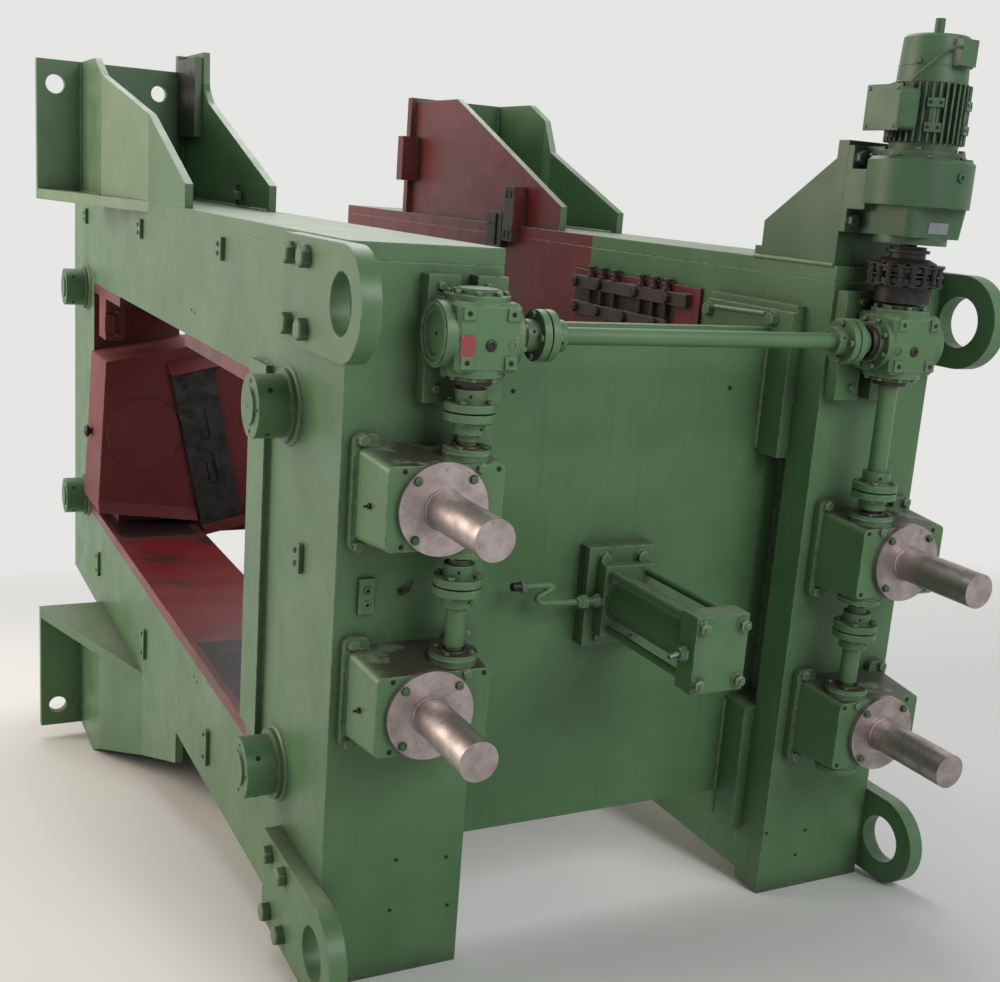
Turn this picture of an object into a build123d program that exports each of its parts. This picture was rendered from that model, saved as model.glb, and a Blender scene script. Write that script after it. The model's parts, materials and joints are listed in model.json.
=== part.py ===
from build123d import *
import os
from math import atan2, cos, degrees, pi, radians, sin

# Straightening machine frame: two deep side frames with windows, tied by a front panel and a
# rear cross beam, with four worm screw jacks and their shaft drive on the column fronts.
# Everything is drawn square to the columns: X across, Y from the front to the rear, Z up a column.
# The last step leans the whole machine forward until its feet and rear brackets stand level.

# Side frames
machine_width = 1700
frame_height = 1800
frame_length = 3700
column_width = 370
skin = 40
beam_underside = 30
foot_length = 105
window_front = 675
rear_column_depth = 522
window_bottom = 375
window_drop = 388
window_bar_width = 148
window_bar_thickness = 18
window_bar_rise = 65
window_bar_drop = 348
front_liner_length = 815
rear_liner_length = 588
liner_thickness = 40
panel_slot_depth = 60

# Rear brackets
back_plate_gap = 238
back_plate_thickness = 40
bracket_overhang = 260
bracket_reach = 500
bracket_flat_length = 310
gusset_thickness = 26
left_gusset_length = 1415
right_gusset_length = 1275
lower_gusset_length = 1420
left_bend_length = 860
right_bend_length = 702
gusset_spread_length = 460
gusset_spread = 91
gusset_nose = 75
gusset_knee_rise = 294
gusset_shoulder_rise = 432
gusset_corner_radius = 150
inner_gusset_inset = 25
inner_gusset_width = 25
inner_nose = 85
left_inner_length = 1250
right_inner_length = 1405
right_inner_flat = 440
right_inner_rise = 484
raised_length = 306
raised_rise = 565
raised_set_back = 12
raised_front_height = 135
raised_slope_foot = 400
raised_slope_rise = 372
raised_corner_radius = 60
raised_tab_width = 80
back_hole_radius = 37
inner_hole_radius = 32
back_hole_outer = 190
back_hole_spacing = 405
back_hole_rise = 408
guide_bar_length = 300
guide_bar_bottom = 245
guide_bar_top = 545
guide_thickness = 30
keeper_block_width = 80
keeper_block_depth = 60
keeper_block_bottom = 140
keeper_block_height = 190
front_pad_from_plate = 1130
front_pad_length = 80
front_pad_low = 60
front_pad_high = 145
rear_pad_from_plate = 1040
rear_pad_length = 140
rear_pad_low = 85
rear_pad_high = 47

# Front cross member
panel_front = 200
panel_thickness = 30
panel_bottom = 240
panel_drop = 185
flange_thickness = 35
flange_length = 395
flange_key_width = 22
flange_key_height = 20
flange_arm_drop = 206
upper_flange_drop = 530
lower_flange_bottom = 160
lower_flange_top = 540
flange_drop = 115

# Rear cross beam with its wear plates
beam_depth = 348
beam_end_top = 860
beam_end_bottom = 890
beam_end_rise = 108
beam_end_drop = 294
beam_mid_rise = 53
beam_mid_drop = 217
belly_half_width = 455
belly_drop = 5
lip_end = 472
lip_height = 45
lip_reach = 32
seat_reach = 60
seat_overhang = 40
top_seat_height = 55
bottom_seat_height = 40
disc_radius = 153
disc_thickness = 8
disc_x = 702
disc_drop = 80
wear_plate_x = 440
wear_plate_drop = 133
wear_plate_turn = 12.2
wear_plate_width = 178
wear_plate_height = 675
wear_plate_thickness = 30
wear_slot_width = 46
wear_slot_length = 145
wear_slot_depth = 12
wear_slot_offset = 100
wear_band_offset = 172
wear_band_width = 20
wear_groove_offset = 208
wear_groove_width = 5
wear_groove_depth = 3
guide_plate_width = 78
guide_plate_height = 172
guide_set_back = 70
guide_plate_depth = 150
shim_start = 619
shim_end = 793
shim_depth = 230

# Clamp bars on the right inner face
clamp_front = 623
clamp_length = 692
lower_clamp_offset = 99
clamp_height = 40
clamp_thickness = 18
clamp_drop = 138
clamp_spacing = 88
clamp_backing = 10
backing_front = 575
backing_length = 760
backing_drop = 115
backing_height = 190

# Lifting lugs and side bosses
lug_thickness = 45
lug_radius = 125
lug_eye_radius = 68
lug_centre_front = 80
lug_rear = 322
upper_lug_drop = 128
lower_lug_z = 152
boss_radius = 79
boss_length = 99
boss_ring_radius = 92
boss_ring_length = 20
boss_cover_radius = 46
boss_cover_thickness = 6
lower_boss_z = 427
upper_boss_drop = 425
front_boss_y = 381
rear_boss_inset = 343

# Worm screw jacks
jack_x = 680
jack_width = 300
jack_height = 215
jack_depth = 155
jack_foot = 25
jack_foot_height = 271
jack_foot_width = 320
jack_lug_width = 62
jack_face_inset = 25
jack_edge_radius = 16
jack_lug_radius = 18
jack_centre_x = 670
worm_cover_radius = 55
worm_cover_height = 15
left_upper_jack_drop = 550
left_lower_jack_drop = 1025
right_upper_jack_drop = 757
right_lower_jack_drop = 1243
guard_flange_radius = 105
guard_flange_thickness = 15
guard_radius = 45
guard_length = 250

# Shaft drive
shaft_x = 600
shaft_front = 120
drive_drop = 180
gearbox_size = 150
gearbox_edge = 9
gearbox_pad = 28
gearbox_pad_thickness = 5
gearbox_cover_radius = 72
gearbox_cover_thickness = 22
cover_flange_thickness = 12
cover_step_radius = 52
cover_recess_radius = 48
cover_recess_depth = 6
gearbox_rail_width = 75
gearbox_rail_height = 283
gearbox_rail_offset = 22
rail_spacing = 118
rail_centre_x = 586
stub_radius = 20
bore_clearance = 0.3
bore_depth = 25
end_gap = 0.5
coupling_radius = 58
coupling_thickness = 40
coupling_gap = 4
hub_radius = 36
hub_length = 30
cross_tube_radius = 16
down_tube_radius = 24
left_upper_coupling_drop = 348
left_lower_coupling_drop = 745
right_upper_coupling_drop = 571
right_lower_coupling_drop = 959
cross_coupling_x = 437
running_gap = 6
tube_margin = 12
chain_hub_radius = 70
upper_hub_radius = 45
chain_links = 18
chain_pitch_radius = 85
chain_plate_width = 22
chain_plate_thickness = 4
chain_height = 56
chain_rise = 173
sprocket_thickness = 12
chain_pin_radius = 7

# Geared motor
motor_bracket_width = 236
motor_plate_thickness = 40
motor_plate_front = 15
motor_base_thickness = 30
motor_base_length = 337
motor_bracket_height = 316
motor_gusset_thickness = 25
motor_gusset_foot = 324
motor_gusset_heel = 69
motor_gusset_drop = 45
gear_unit_rise = 70
output_flange_radius = 90
output_flange_thickness = 18
lower_case_height = 74
lower_case_foot = 178
lower_case_width = 190
lower_case_radius = 24
drum_radius = 132
drum_height = 116
drum_edge = 8
gear_foot_depth = 85
gear_foot_height = 215
gear_foot_plate = 22
foot_pocket_width = 42
foot_pocket_height = 58
adapter_radius = 104
adapter_height = 17
motor_flange_radius = 84
motor_flange_height = 20
motor_core_radius = 84
motor_radius = 98
motor_height = 140
fin_count = 36
fin_thickness = 5
fan_cover_radius = 86
fan_cover_taper = 6
fan_cover_height = 115
fan_cover_edge = 6
fan_stub_radius = 12
fan_stub_height = 42
terminal_box_width = 60
terminal_box_depth = 110
terminal_box_height = 100
terminal_box_rise = 25
terminal_box_radius = 12
brake_box_width = 52
brake_box_depth = 40
brake_box_height = 62
brake_box_drop = 12
brake_box_angle = 87

# Hydraulic cylinder on the panel
cylinder_x = 10
cylinder_z = 895
cylinder_flange_width = 204
cylinder_flange_height = 272
cylinder_flange_thickness = 24
cylinder_head_width = 150
cylinder_head_height = 192
cylinder_head_depth = 65
cylinder_cap_depth = 45
cylinder_front = 310
cylinder_tube_radius = 63
tie_rod_radius = 10
tie_rod_inset = 20

# Worked out from the sizes above
half_width = machine_width / 2
inner_face = half_width - column_width
under_skin = frame_height - skin
window_rear = frame_length - rear_column_depth
window_top = frame_height - window_drop
window_middle = (window_top + window_bottom) / 2
window_bar_bottom = window_bottom + window_bar_rise
window_bar_height = frame_height - window_bar_drop - window_bar_bottom
liner_top = window_bottom + liner_thickness
step_front = window_front + front_liner_length
step_rear = window_rear - rear_liner_length
panel_top = frame_height - panel_drop
flange_top = frame_height - flange_drop
upper_flange_bottom = frame_height - upper_flange_drop
flange_front = foot_length
slot_height = upper_flange_bottom - lower_flange_top
back_plate_front = window_rear - back_plate_gap
bracket_flat = back_plate_front - bracket_flat_length
gusset_spread_at = back_plate_front - gusset_spread_length
bottom_plate_front = back_plate_front - lower_gusset_length
bracket_top = frame_height + bracket_reach
mid_height = (under_skin + beam_underside) / 2
overhang_x = half_width + bracket_overhang
bracket_low = 2 * mid_height - frame_height - bracket_reach
lean = degrees(atan2(-bracket_low, bracket_flat))
drive_z = frame_height - drive_drop
left_jacks = (frame_height - left_upper_jack_drop, frame_height - left_lower_jack_drop)
right_jacks = (frame_height - right_upper_jack_drop, frame_height - right_lower_jack_drop)
gear_bottom = frame_height + gear_unit_rise
jack_front = jack_foot + jack_depth
guard_tip = jack_front + guard_flange_thickness + guard_length

# The stance: the lean about the feet, then a shift that puts the middle of the whole length at Y 0
front_reach = -guard_tip * cos(radians(lean)) - (left_jacks[0] + guard_radius) * sin(radians(lean))
rear_reach = frame_length * cos(radians(lean)) - (beam_underside - skin) * sin(radians(lean))
stance = Pos(0, -(front_reach + rear_reach) / 2, 0) * Rot(lean, 0, 0)

os.makedirs("parts", exist_ok=True)


def hand_over(shape, label):
    """Stand a finished piece in the machine's stance, label it and write it."""
    piece = stance * shape
    piece.label = label
    export_step(piece, f"parts/{label}.step")


def low_side(sign):
    """The lower X of a side frame, left for -1 and right for +1."""
    return -half_width if sign < 0 else inner_face


def bend_at(sign):
    """The Y of a side's first gusset bend, where its top and bottom plates start to widen."""
    return back_plate_front - (left_bend_length if sign < 0 else right_bend_length)


sides = (("left", -1), ("right", 1))

# Side frame members
for side, sign in sides:
    with BuildPart() as front_column:
        with BuildSketch(Plane.YZ.offset(low_side(sign))):
            with BuildLine():
                Polyline(
                    (0, 0), (foot_length, 0), (foot_length, beam_underside),
                    (window_front, beam_underside), (window_front, under_skin), (0, under_skin), close=True,
                )
            make_face()
        extrude(amount=column_width)
        with BuildSketch(Plane.YZ.offset(sign * inner_face)):
            with Locations((foot_length, lower_flange_top)):
                Rectangle(panel_front - foot_length, slot_height, align=Align.MIN)
        extrude(amount=sign * panel_slot_depth, mode=Mode.SUBTRACT)
        with BuildSketch(Plane.YZ.offset(sign * half_width)):
            with Locations((window_front, window_bar_bottom)):
                Rectangle(window_bar_width, window_bar_height, align=(Align.MAX, Align.MIN))
        extrude(amount=sign * window_bar_thickness)
    hand_over(front_column.part, f"{side}_front_column")

    with BuildPart() as rear_column:
        with BuildSketch(Plane.YZ.offset(low_side(sign))):
            with Locations((window_rear, beam_underside)):
                Rectangle(frame_length - window_rear, under_skin - beam_underside, align=Align.MIN)
        extrude(amount=column_width)
    hand_over(rear_column.part, f"{side}_rear_column")

    with BuildPart() as top_beam:
        with BuildSketch(Plane.YZ.offset(low_side(sign))):
            with Locations((window_front, window_top)):
                Rectangle(window_rear - window_front, under_skin - window_top, align=Align.MIN)
        extrude(amount=column_width)
    hand_over(top_beam.part, f"{side}_top_beam")

    with BuildPart() as lower_beam:
        with BuildSketch(Plane.YZ.offset(low_side(sign))):
            with BuildLine():
                Polyline(
                    (window_front, beam_underside), (window_rear, beam_underside),
                    (window_rear, window_bottom), (step_rear, window_bottom), (step_rear, liner_top),
                    (step_front, liner_top), (step_front, window_bottom), (window_front, window_bottom),
                    close=True,
                )
            make_face()
        extrude(amount=column_width)
    hand_over(lower_beam.part, f"{side}_lower_beam")

    ear = (
        (sign * half_width, back_plate_front + back_plate_thickness),
        (sign * overhang_x, back_plate_front + back_plate_thickness),
        (sign * overhang_x, back_plate_front),
        (sign * half_width, bend_at(sign)),
    )
    with BuildPart() as top_plate:
        with BuildSketch(Plane.XY.offset(under_skin)):
            with BuildLine():
                Polyline(
                    (sign * inner_face, 0), (sign * inner_face, frame_length),
                    (sign * half_width, frame_length), *ear, (sign * half_width, 0), close=True,
                )
            make_face()
        extrude(amount=skin)
    hand_over(top_plate.part, f"{side}_top_plate")

    with BuildPart() as bottom_plate:
        with BuildSketch(Plane.XY.offset(beam_underside - skin)):
            with BuildLine():
                Polyline(
                    (sign * inner_face, bottom_plate_front), (sign * inner_face, frame_length),
                    (sign * half_width, frame_length), *ear, (sign * half_width, bottom_plate_front),
                    close=True,
                )
            make_face()
        extrude(amount=skin)
    hand_over(bottom_plate.part, f"{side}_bottom_plate")


def outer_gusset(sign, front):
    """A bent plate whose top edge climbs in three slopes to a level stretch at the back plate."""
    outer = sign * half_width
    spread = sign * (half_width + gusset_spread)
    inward = -sign * gusset_thickness
    gusset_bend = bend_at(sign)
    with BuildPart() as gusset:
        with BuildSketch(Plane.XY.offset(frame_height)):
            with BuildLine():
                Polyline(
                    (outer, front), (outer, gusset_bend), (spread, gusset_spread_at),
                    (spread, back_plate_front), (spread + inward, back_plate_front),
                    (spread + inward, gusset_spread_at), (outer + inward, gusset_bend),
                    (outer + inward, front), close=True,
                )
            make_face()
        extrude(amount=bracket_reach)
        nose = (front, frame_height + gusset_nose)
        flat = (bracket_flat, bracket_top)
        with BuildSketch(Plane.YZ.offset(-2 * overhang_x)):
            with BuildLine():
                FilletPolyline(
                    nose, (gusset_bend, frame_height + gusset_knee_rise),
                    (gusset_spread_at, frame_height + gusset_shoulder_rise), flat,
                    radius=gusset_corner_radius,
                )
                Polyline(
                    flat, (back_plate_front, bracket_top), (back_plate_front, frame_height),
                    (front, frame_height), nose,
                )
            make_face()
        extrude(amount=4 * overhang_x, mode=Mode.INTERSECT)
    return gusset.part


def inner_gusset(sign, edge, radius):
    """A flat plate under a rising edge, given as (Y, rise) pairs from its nose to the back plate."""
    places = [(y, frame_height + rise) for y, rise in edge]
    with BuildPart() as gusset:
        with BuildSketch(Plane.YZ.offset(sign * (inner_face + inner_gusset_inset))):
            with BuildLine():
                if radius:
                    FilletPolyline(*places[:-1], radius=radius)
                else:
                    Polyline(*places[:-1])
                Polyline(
                    *places[-2:], (back_plate_front, frame_height), (places[0][0], frame_height), places[0]
                )
            make_face()
        extrude(amount=sign * inner_gusset_width)
    return gusset.part


def back_plate(sign, tab_width, tab_height):
    """A plate with two round holes; the left upper one has a tab above the raised inner gusset."""
    with BuildPart() as plate:
        with BuildSketch(Plane.XZ.offset(-back_plate_front - back_plate_thickness)):
            with Locations((sign * (inner_face + overhang_x) / 2, frame_height + bracket_reach / 2)):
                Rectangle(overhang_x - inner_face, bracket_reach)
            if tab_width:
                with Locations((sign * (inner_face + tab_width / 2), frame_height + tab_height / 2)):
                    Rectangle(tab_width, tab_height)
            with Locations((sign * (half_width + back_hole_outer), frame_height + back_hole_rise)):
                Circle(back_hole_radius, mode=Mode.SUBTRACT)
            inner_hole_x = half_width + back_hole_outer - back_hole_spacing
            with Locations((sign * inner_hole_x, frame_height + back_hole_rise)):
                Circle(inner_hole_radius, mode=Mode.SUBTRACT)
        extrude(amount=back_plate_thickness)
    return plate.part


raised_edge = (
    (back_plate_front - left_inner_length, inner_nose),
    (back_plate_front - raised_slope_foot, raised_slope_rise),
    (back_plate_front - raised_length - raised_set_back, raised_rise - raised_front_height),
    (back_plate_front - raised_length, raised_rise),
    (back_plate_front, raised_rise),
)
level_edge = (
    (back_plate_front - right_inner_length, inner_nose),
    (back_plate_front - right_inner_flat, right_inner_rise),
    (back_plate_front, right_inner_rise),
)
lower_edge = (
    (back_plate_front - lower_gusset_length, gusset_nose),
    (bracket_flat, bracket_reach),
    (back_plate_front, bracket_reach),
)
hand_over(
    Compound(children=[
        back_plate(-1, raised_tab_width, raised_rise),
        outer_gusset(-1, back_plate_front - left_gusset_length),
        inner_gusset(-1, raised_edge, raised_corner_radius),
    ]),
    "left_upper_rear_bracket",
)
hand_over(
    Compound(children=[
        back_plate(1, 0, 0),
        outer_gusset(1, back_plate_front - right_gusset_length),
        inner_gusset(1, level_edge, 0),
    ]),
    "right_upper_rear_bracket",
)
for side, sign in sides:
    pieces = (
        back_plate(sign, 0, 0),
        outer_gusset(sign, back_plate_front - lower_gusset_length),
        inner_gusset(sign, lower_edge, 0),
    )
    lower = [mirror(piece, about=Plane.XY.offset(mid_height)) for piece in pieces]
    hand_over(Compound(children=lower), f"{side}_lower_rear_bracket")

# Guide blocks between the brackets: a bar on the left, and a keeper block and two pads on the right
with BuildPart() as bracket_guides:
    with BuildSketch(Plane.YZ.offset(-inner_face - inner_gusset_inset - inner_gusset_width)):
        with Locations((back_plate_front, frame_height + guide_bar_bottom)):
            Rectangle(guide_bar_length, guide_bar_top - guide_bar_bottom, align=(Align.MAX, Align.MIN))
    extrude(amount=-guide_thickness)
    with BuildSketch(Plane.XZ.offset(-back_plate_front)):
        with Locations((inner_face + inner_gusset_inset, frame_height + keeper_block_bottom)):
            Rectangle(keeper_block_width, keeper_block_height, align=(Align.MAX, Align.MIN))
    extrude(amount=keeper_block_depth)
    for start, length, low, high in (
        (front_pad_from_plate, front_pad_length, front_pad_low, front_pad_high),
        (rear_pad_from_plate, rear_pad_length, rear_pad_low, rear_pad_high),
    ):
        with BuildSketch(Plane.XZ.offset(start - back_plate_front)):
            with BuildLine():
                Polyline(
                    (inner_face - guide_thickness, frame_height - low), (inner_face, frame_height - low),
                    (inner_face, frame_height), (inner_face + inner_gusset_inset, frame_height),
                    (inner_face + inner_gusset_inset, frame_height + high),
                    (inner_face - guide_thickness, frame_height + high), close=True,
                )
            make_face()
        extrude(amount=-length)
hand_over(bracket_guides.part, "bracket_guides")

# Window liners: wear bars at the front and the rear of both windows, top and bottom
with BuildPart() as window_liners:
    for side, sign in sides:
        with BuildSketch(Plane.YZ.offset(low_side(sign))):
            for start, end in ((window_front, step_front), (step_rear, window_rear)):
                with Locations((start, window_bottom)):
                    Rectangle(end - start, liner_thickness, align=Align.MIN)
                with Locations((start, window_top - liner_thickness)):
                    Rectangle(end - start, liner_thickness, align=Align.MIN)
        extrude(amount=column_width)
hand_over(window_liners.part, "window_liners")

# Front cross member
with BuildPart() as front_panel:
    with BuildSketch(Plane.XZ.offset(-panel_front - panel_thickness)):
        with Locations((0, (panel_bottom + panel_top) / 2)):
            Rectangle(2 * inner_face, panel_top - panel_bottom)
    extrude(amount=panel_thickness)
hand_over(front_panel.part, "front_panel")

with BuildPart() as panel_flanges:
    for side, sign in sides:
        with BuildSketch(Plane.YZ.offset(inner_face - flange_thickness if sign > 0 else -inner_face)):
            with BuildLine():
                Polyline(
                    (flange_front, upper_flange_bottom), (panel_front, upper_flange_bottom),
                    (panel_front, panel_top), (panel_front + panel_thickness, panel_top),
                    (panel_front + panel_thickness, frame_height - flange_arm_drop),
                    (flange_front + flange_length, frame_height - flange_arm_drop),
                    (flange_front + flange_length, flange_top - flange_key_height),
                    (flange_front, flange_top - flange_key_height), close=True,
                )
            make_face()
            with BuildLine():
                Polyline(
                    (flange_front, lower_flange_bottom), (panel_front, lower_flange_bottom),
                    (panel_front, lower_flange_top), (flange_front, lower_flange_top), close=True,
                )
            make_face()
        extrude(amount=flange_thickness)
        with BuildSketch(Plane.YZ.offset(inner_face - flange_key_width if sign > 0 else -inner_face)):
            with Locations((flange_front, flange_top - flange_key_height)):
                Rectangle(flange_length, flange_key_height, align=Align.MIN)
        extrude(amount=flange_key_width)
hand_over(panel_flanges.part, "panel_flanges")

# Rear cross beam: deep between the frames, tapered in the windows, with a bevelled lip below
beam_front = window_rear - beam_depth
end_bottom_z = window_bottom + beam_end_rise
mid_bottom_z = window_bottom + beam_mid_rise
end_top_z = window_top - beam_end_drop
mid_top_z = window_top - beam_mid_drop
belly_z = window_bottom - belly_drop
disc_z = window_middle - disc_drop
wear_plate_z = window_middle - wear_plate_drop


def plate_place(sign):
    """Where a wear plate's middle lies on the beam's face, with its turn."""
    return Pos(sign * wear_plate_x, wear_plate_z) * Rot(0, 0, -sign * wear_plate_turn)


def beam_underside_at(x):
    """The height of the beam's tapered underside at a distance from the middle."""
    slope = (end_bottom_z - mid_bottom_z) / (beam_end_bottom - belly_half_width)
    return mid_bottom_z + slope * (x - belly_half_width)


with BuildPart() as rear_cross_beam:
    with BuildSketch(Plane.XZ.offset(-window_rear)):
        with BuildLine():
            Polyline(
                (-beam_end_bottom, end_bottom_z), (-belly_half_width, mid_bottom_z),
                (-belly_half_width, belly_z), (belly_half_width, belly_z),
                (belly_half_width, mid_bottom_z), (beam_end_bottom, end_bottom_z),
                (beam_end_top, end_top_z), (inner_face, mid_top_z), (-inner_face, mid_top_z),
                (-beam_end_top, end_top_z), close=True,
            )
        make_face()
    extrude(amount=beam_depth)
    with BuildSketch(Plane.XZ.offset(-beam_front)):
        for sign in (-1, 1):
            with Locations((sign * disc_x, disc_z)):
                Circle(disc_radius)
            with Locations(plate_place(sign)):
                Rectangle(wear_plate_width, wear_plate_height, mode=Mode.SUBTRACT)
    extrude(amount=disc_thickness)
    for sign in (-1, 1):
        for x in (beam_end_bottom, lip_end):
            z = beam_underside_at(x)
            with BuildSketch(Plane.YZ.offset(sign * x)):
                with BuildLine():
                    Polyline(
                        (beam_front, z), (beam_front - lip_reach, z), (beam_front, z + lip_height),
                        close=True,
                    )
                make_face()
        loft()
hand_over(rear_cross_beam.part, "rear_cross_beam")

# Guide plates under the upper rear liners, and shims between the lower ones and the beam
guide_front = beam_front + guide_set_back


with BuildPart() as beam_guides:
    with BuildSketch(Plane.XZ.offset(-guide_front)):
        for sign in (-1, 1):
            with Locations((sign * (half_width - guide_plate_width / 2), window_top - liner_thickness)):
                Rectangle(guide_plate_width, guide_plate_height, align=(Align.CENTER, Align.MAX))
    extrude(amount=-guide_plate_depth)
    with BuildSketch(Plane.XZ.offset(-guide_front)):
        for sign in (-1, 1):
            with BuildLine():
                Polyline(
                    (sign * shim_start, liner_top), (sign * shim_end, liner_top),
                    (sign * shim_end, beam_underside_at(shim_end)),
                    (sign * shim_start, beam_underside_at(shim_start)), close=True,
                )
            make_face()
    extrude(amount=-shim_depth)
hand_over(beam_guides.part, "beam_guides")

# Wear plates on the beam's face, each between a bevelled seat above and a ledge below
wear_half = wear_plate_height / 2
with BuildPart() as wear_plate_seats:
    for sign in (-1, 1):
        turn = radians(-sign * wear_plate_turn)
        middle = (sign * wear_plate_x, beam_front, wear_plate_z)
        across = Plane(origin=middle, x_dir=(0, 1, 0), z_dir=(cos(turn), 0, sin(turn)))
        with BuildSketch(across.offset(sign * wear_plate_width / 2)):
            with BuildLine():
                Polyline(
                    (0, wear_half), (-seat_reach, wear_half), (0, wear_half + top_seat_height), close=True
                )
            make_face()
            with Locations((0, -wear_half)):
                Rectangle(seat_reach, bottom_seat_height, align=Align.MAX)
        extrude(amount=-sign * (wear_plate_width + seat_overhang))
hand_over(wear_plate_seats.part, "wear_plate_seats")

with BuildPart() as wear_plates:
    for sign in (-1, 1):
        place = plate_place(sign)
        with BuildSketch(Plane.XZ.offset(-beam_front)):
            with Locations(place):
                Rectangle(wear_plate_width, wear_plate_height)
        extrude(amount=wear_plate_thickness)
        face = Plane.XZ.offset(wear_plate_thickness - beam_front)
        with BuildSketch(face):
            with Locations(place):
                with Locations((0, wear_slot_offset), (0, -wear_slot_offset)):
                    SlotOverall(wear_slot_length, wear_slot_width, rotation=90)
                with Locations((0, wear_band_offset)):
                    Rectangle(wear_plate_width, wear_band_width)
        extrude(amount=-wear_slot_depth, mode=Mode.SUBTRACT)
        with BuildSketch(face):
            with Locations(place):
                with Locations((0, wear_groove_offset)):
                    Rectangle(wear_plate_width, wear_groove_width)
        extrude(amount=-wear_groove_depth, mode=Mode.SUBTRACT)
hand_over(wear_plates.part, "wear_plates")

# Clamp bars on their backing plate, on the right frame's inner face
clamp_z = frame_height - clamp_drop
with BuildPart() as clamp_bars:
    with BuildSketch(Plane.YZ.offset(inner_face - clamp_backing)):
        with Locations((backing_front, frame_height - backing_drop)):
            Rectangle(backing_length, backing_height, align=(Align.MIN, Align.MAX))
    extrude(amount=clamp_backing)
    with BuildSketch(Plane.YZ.offset(inner_face - clamp_backing - clamp_thickness)):
        with Locations((clamp_front, clamp_z)):
            Rectangle(clamp_length, clamp_height, align=(Align.MIN, Align.MAX))
        with Locations((clamp_front + lower_clamp_offset, clamp_z - clamp_spacing)):
            Rectangle(clamp_length - lower_clamp_offset, clamp_height, align=(Align.MIN, Align.MAX))
    extrude(amount=clamp_thickness)
hand_over(clamp_bars.part, "clamp_bars")

# Lifting lugs
for side, sign in sides:
    with BuildPart() as lifting_lugs:
        with BuildSketch(Plane.YZ.offset(half_width if sign > 0 else -half_width - lug_thickness)):
            for level in (frame_height - upper_lug_drop, lower_lug_z):
                with Locations((-lug_centre_front, level)):
                    Circle(lug_radius)
                with Locations((-lug_centre_front, level - lug_radius)):
                    Rectangle(lug_centre_front + lug_rear, 2 * lug_radius, align=Align.MIN)
                with Locations((-lug_centre_front, level)):
                    Circle(lug_eye_radius, mode=Mode.SUBTRACT)
        extrude(amount=lug_thickness)
    hand_over(lifting_lugs.part, f"{side}_lifting_lugs")

# Round side bosses, each a base ring, a drum and a thin cover
boss_places = [
    (y, z)
    for y in (front_boss_y, frame_length - rear_boss_inset)
    for z in (lower_boss_z, frame_height - upper_boss_drop)
]
with BuildPart() as side_bosses:
    for sign in (-1, 1):
        base = Plane.YZ.offset(sign * half_width)
        for start, end, radius in (
            (0, boss_ring_length, boss_ring_radius),
            (boss_ring_length, boss_length, boss_radius),
            (boss_length, boss_length + boss_cover_thickness, boss_cover_radius),
        ):
            with BuildSketch(base.offset(sign * start)):
                with Locations(*boss_places):
                    Circle(radius)
            extrude(amount=sign * (end - start))
hand_over(side_bosses.part, "side_bosses")

# Worm screw jacks on the column fronts
jack_places = [(-jack_x, z) for z in left_jacks] + [(jack_x, z) for z in right_jacks]


worm_rise = jack_height / 2 + worm_cover_height
jack_lug_offset = (jack_foot_width - jack_lug_width) / 2
jack_face_width = jack_width - jack_face_inset
jack_face_height = jack_height - jack_face_inset
with BuildPart() as jack_housings:
    for screw_x, z in jack_places:
        side = 1 if screw_x > 0 else -1
        x = side * jack_centre_x
        with BuildSketch(Plane.XZ):
            with Locations((x, z)):
                Rectangle(jack_foot_width, jack_height)
            with Locations((x - jack_lug_offset, z), (x + jack_lug_offset, z)):
                RectangleRounded(jack_lug_width, jack_foot_height, jack_lug_radius)
        extrude(amount=jack_foot)
        with BuildSketch(Plane.XZ.offset(jack_foot)):
            with Locations((x, z)):
                RectangleRounded(jack_width, jack_height, jack_edge_radius)
        with BuildSketch(Plane.XZ.offset(jack_front)):
            with Locations((x, z)):
                RectangleRounded(jack_face_width, jack_face_height, jack_edge_radius)
        loft()
        with Locations((side * shaft_x, -shaft_front, z)):
            Cylinder(worm_cover_radius, 2 * worm_rise)
        for end in (z + worm_rise, z - worm_rise):
            with Locations((side * shaft_x, -shaft_front, end)):
                Cylinder(stub_radius + bore_clearance, 2 * bore_depth, mode=Mode.SUBTRACT)
hand_over(jack_housings.part, "jack_housings")

with BuildPart() as jack_guard_tubes:
    with BuildSketch(Plane.XZ.offset(jack_front)):
        with Locations(*jack_places):
            Circle(guard_flange_radius)
    extrude(amount=guard_flange_thickness)
    with BuildSketch(Plane.XZ.offset(jack_front + guard_flange_thickness)):
        with Locations(*jack_places):
            Circle(guard_radius)
    extrude(amount=guard_length)
hand_over(jack_guard_tubes.part, "jack_guard_tubes")

# Bevel gearboxes on their rails
with BuildPart() as gearbox_rails:
    with BuildSketch(Plane.XZ):
        for sign in (-1, 1):
            with Locations(
                (sign * (rail_centre_x - rail_spacing / 2), drive_z - gearbox_rail_offset),
                (sign * (rail_centre_x + rail_spacing / 2), drive_z - gearbox_rail_offset),
            ):
                Rectangle(gearbox_rail_width, gearbox_rail_height)
    extrude(amount=shaft_front - gearbox_size / 2)
hand_over(gearbox_rails.part, "gearbox_rails")

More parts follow.
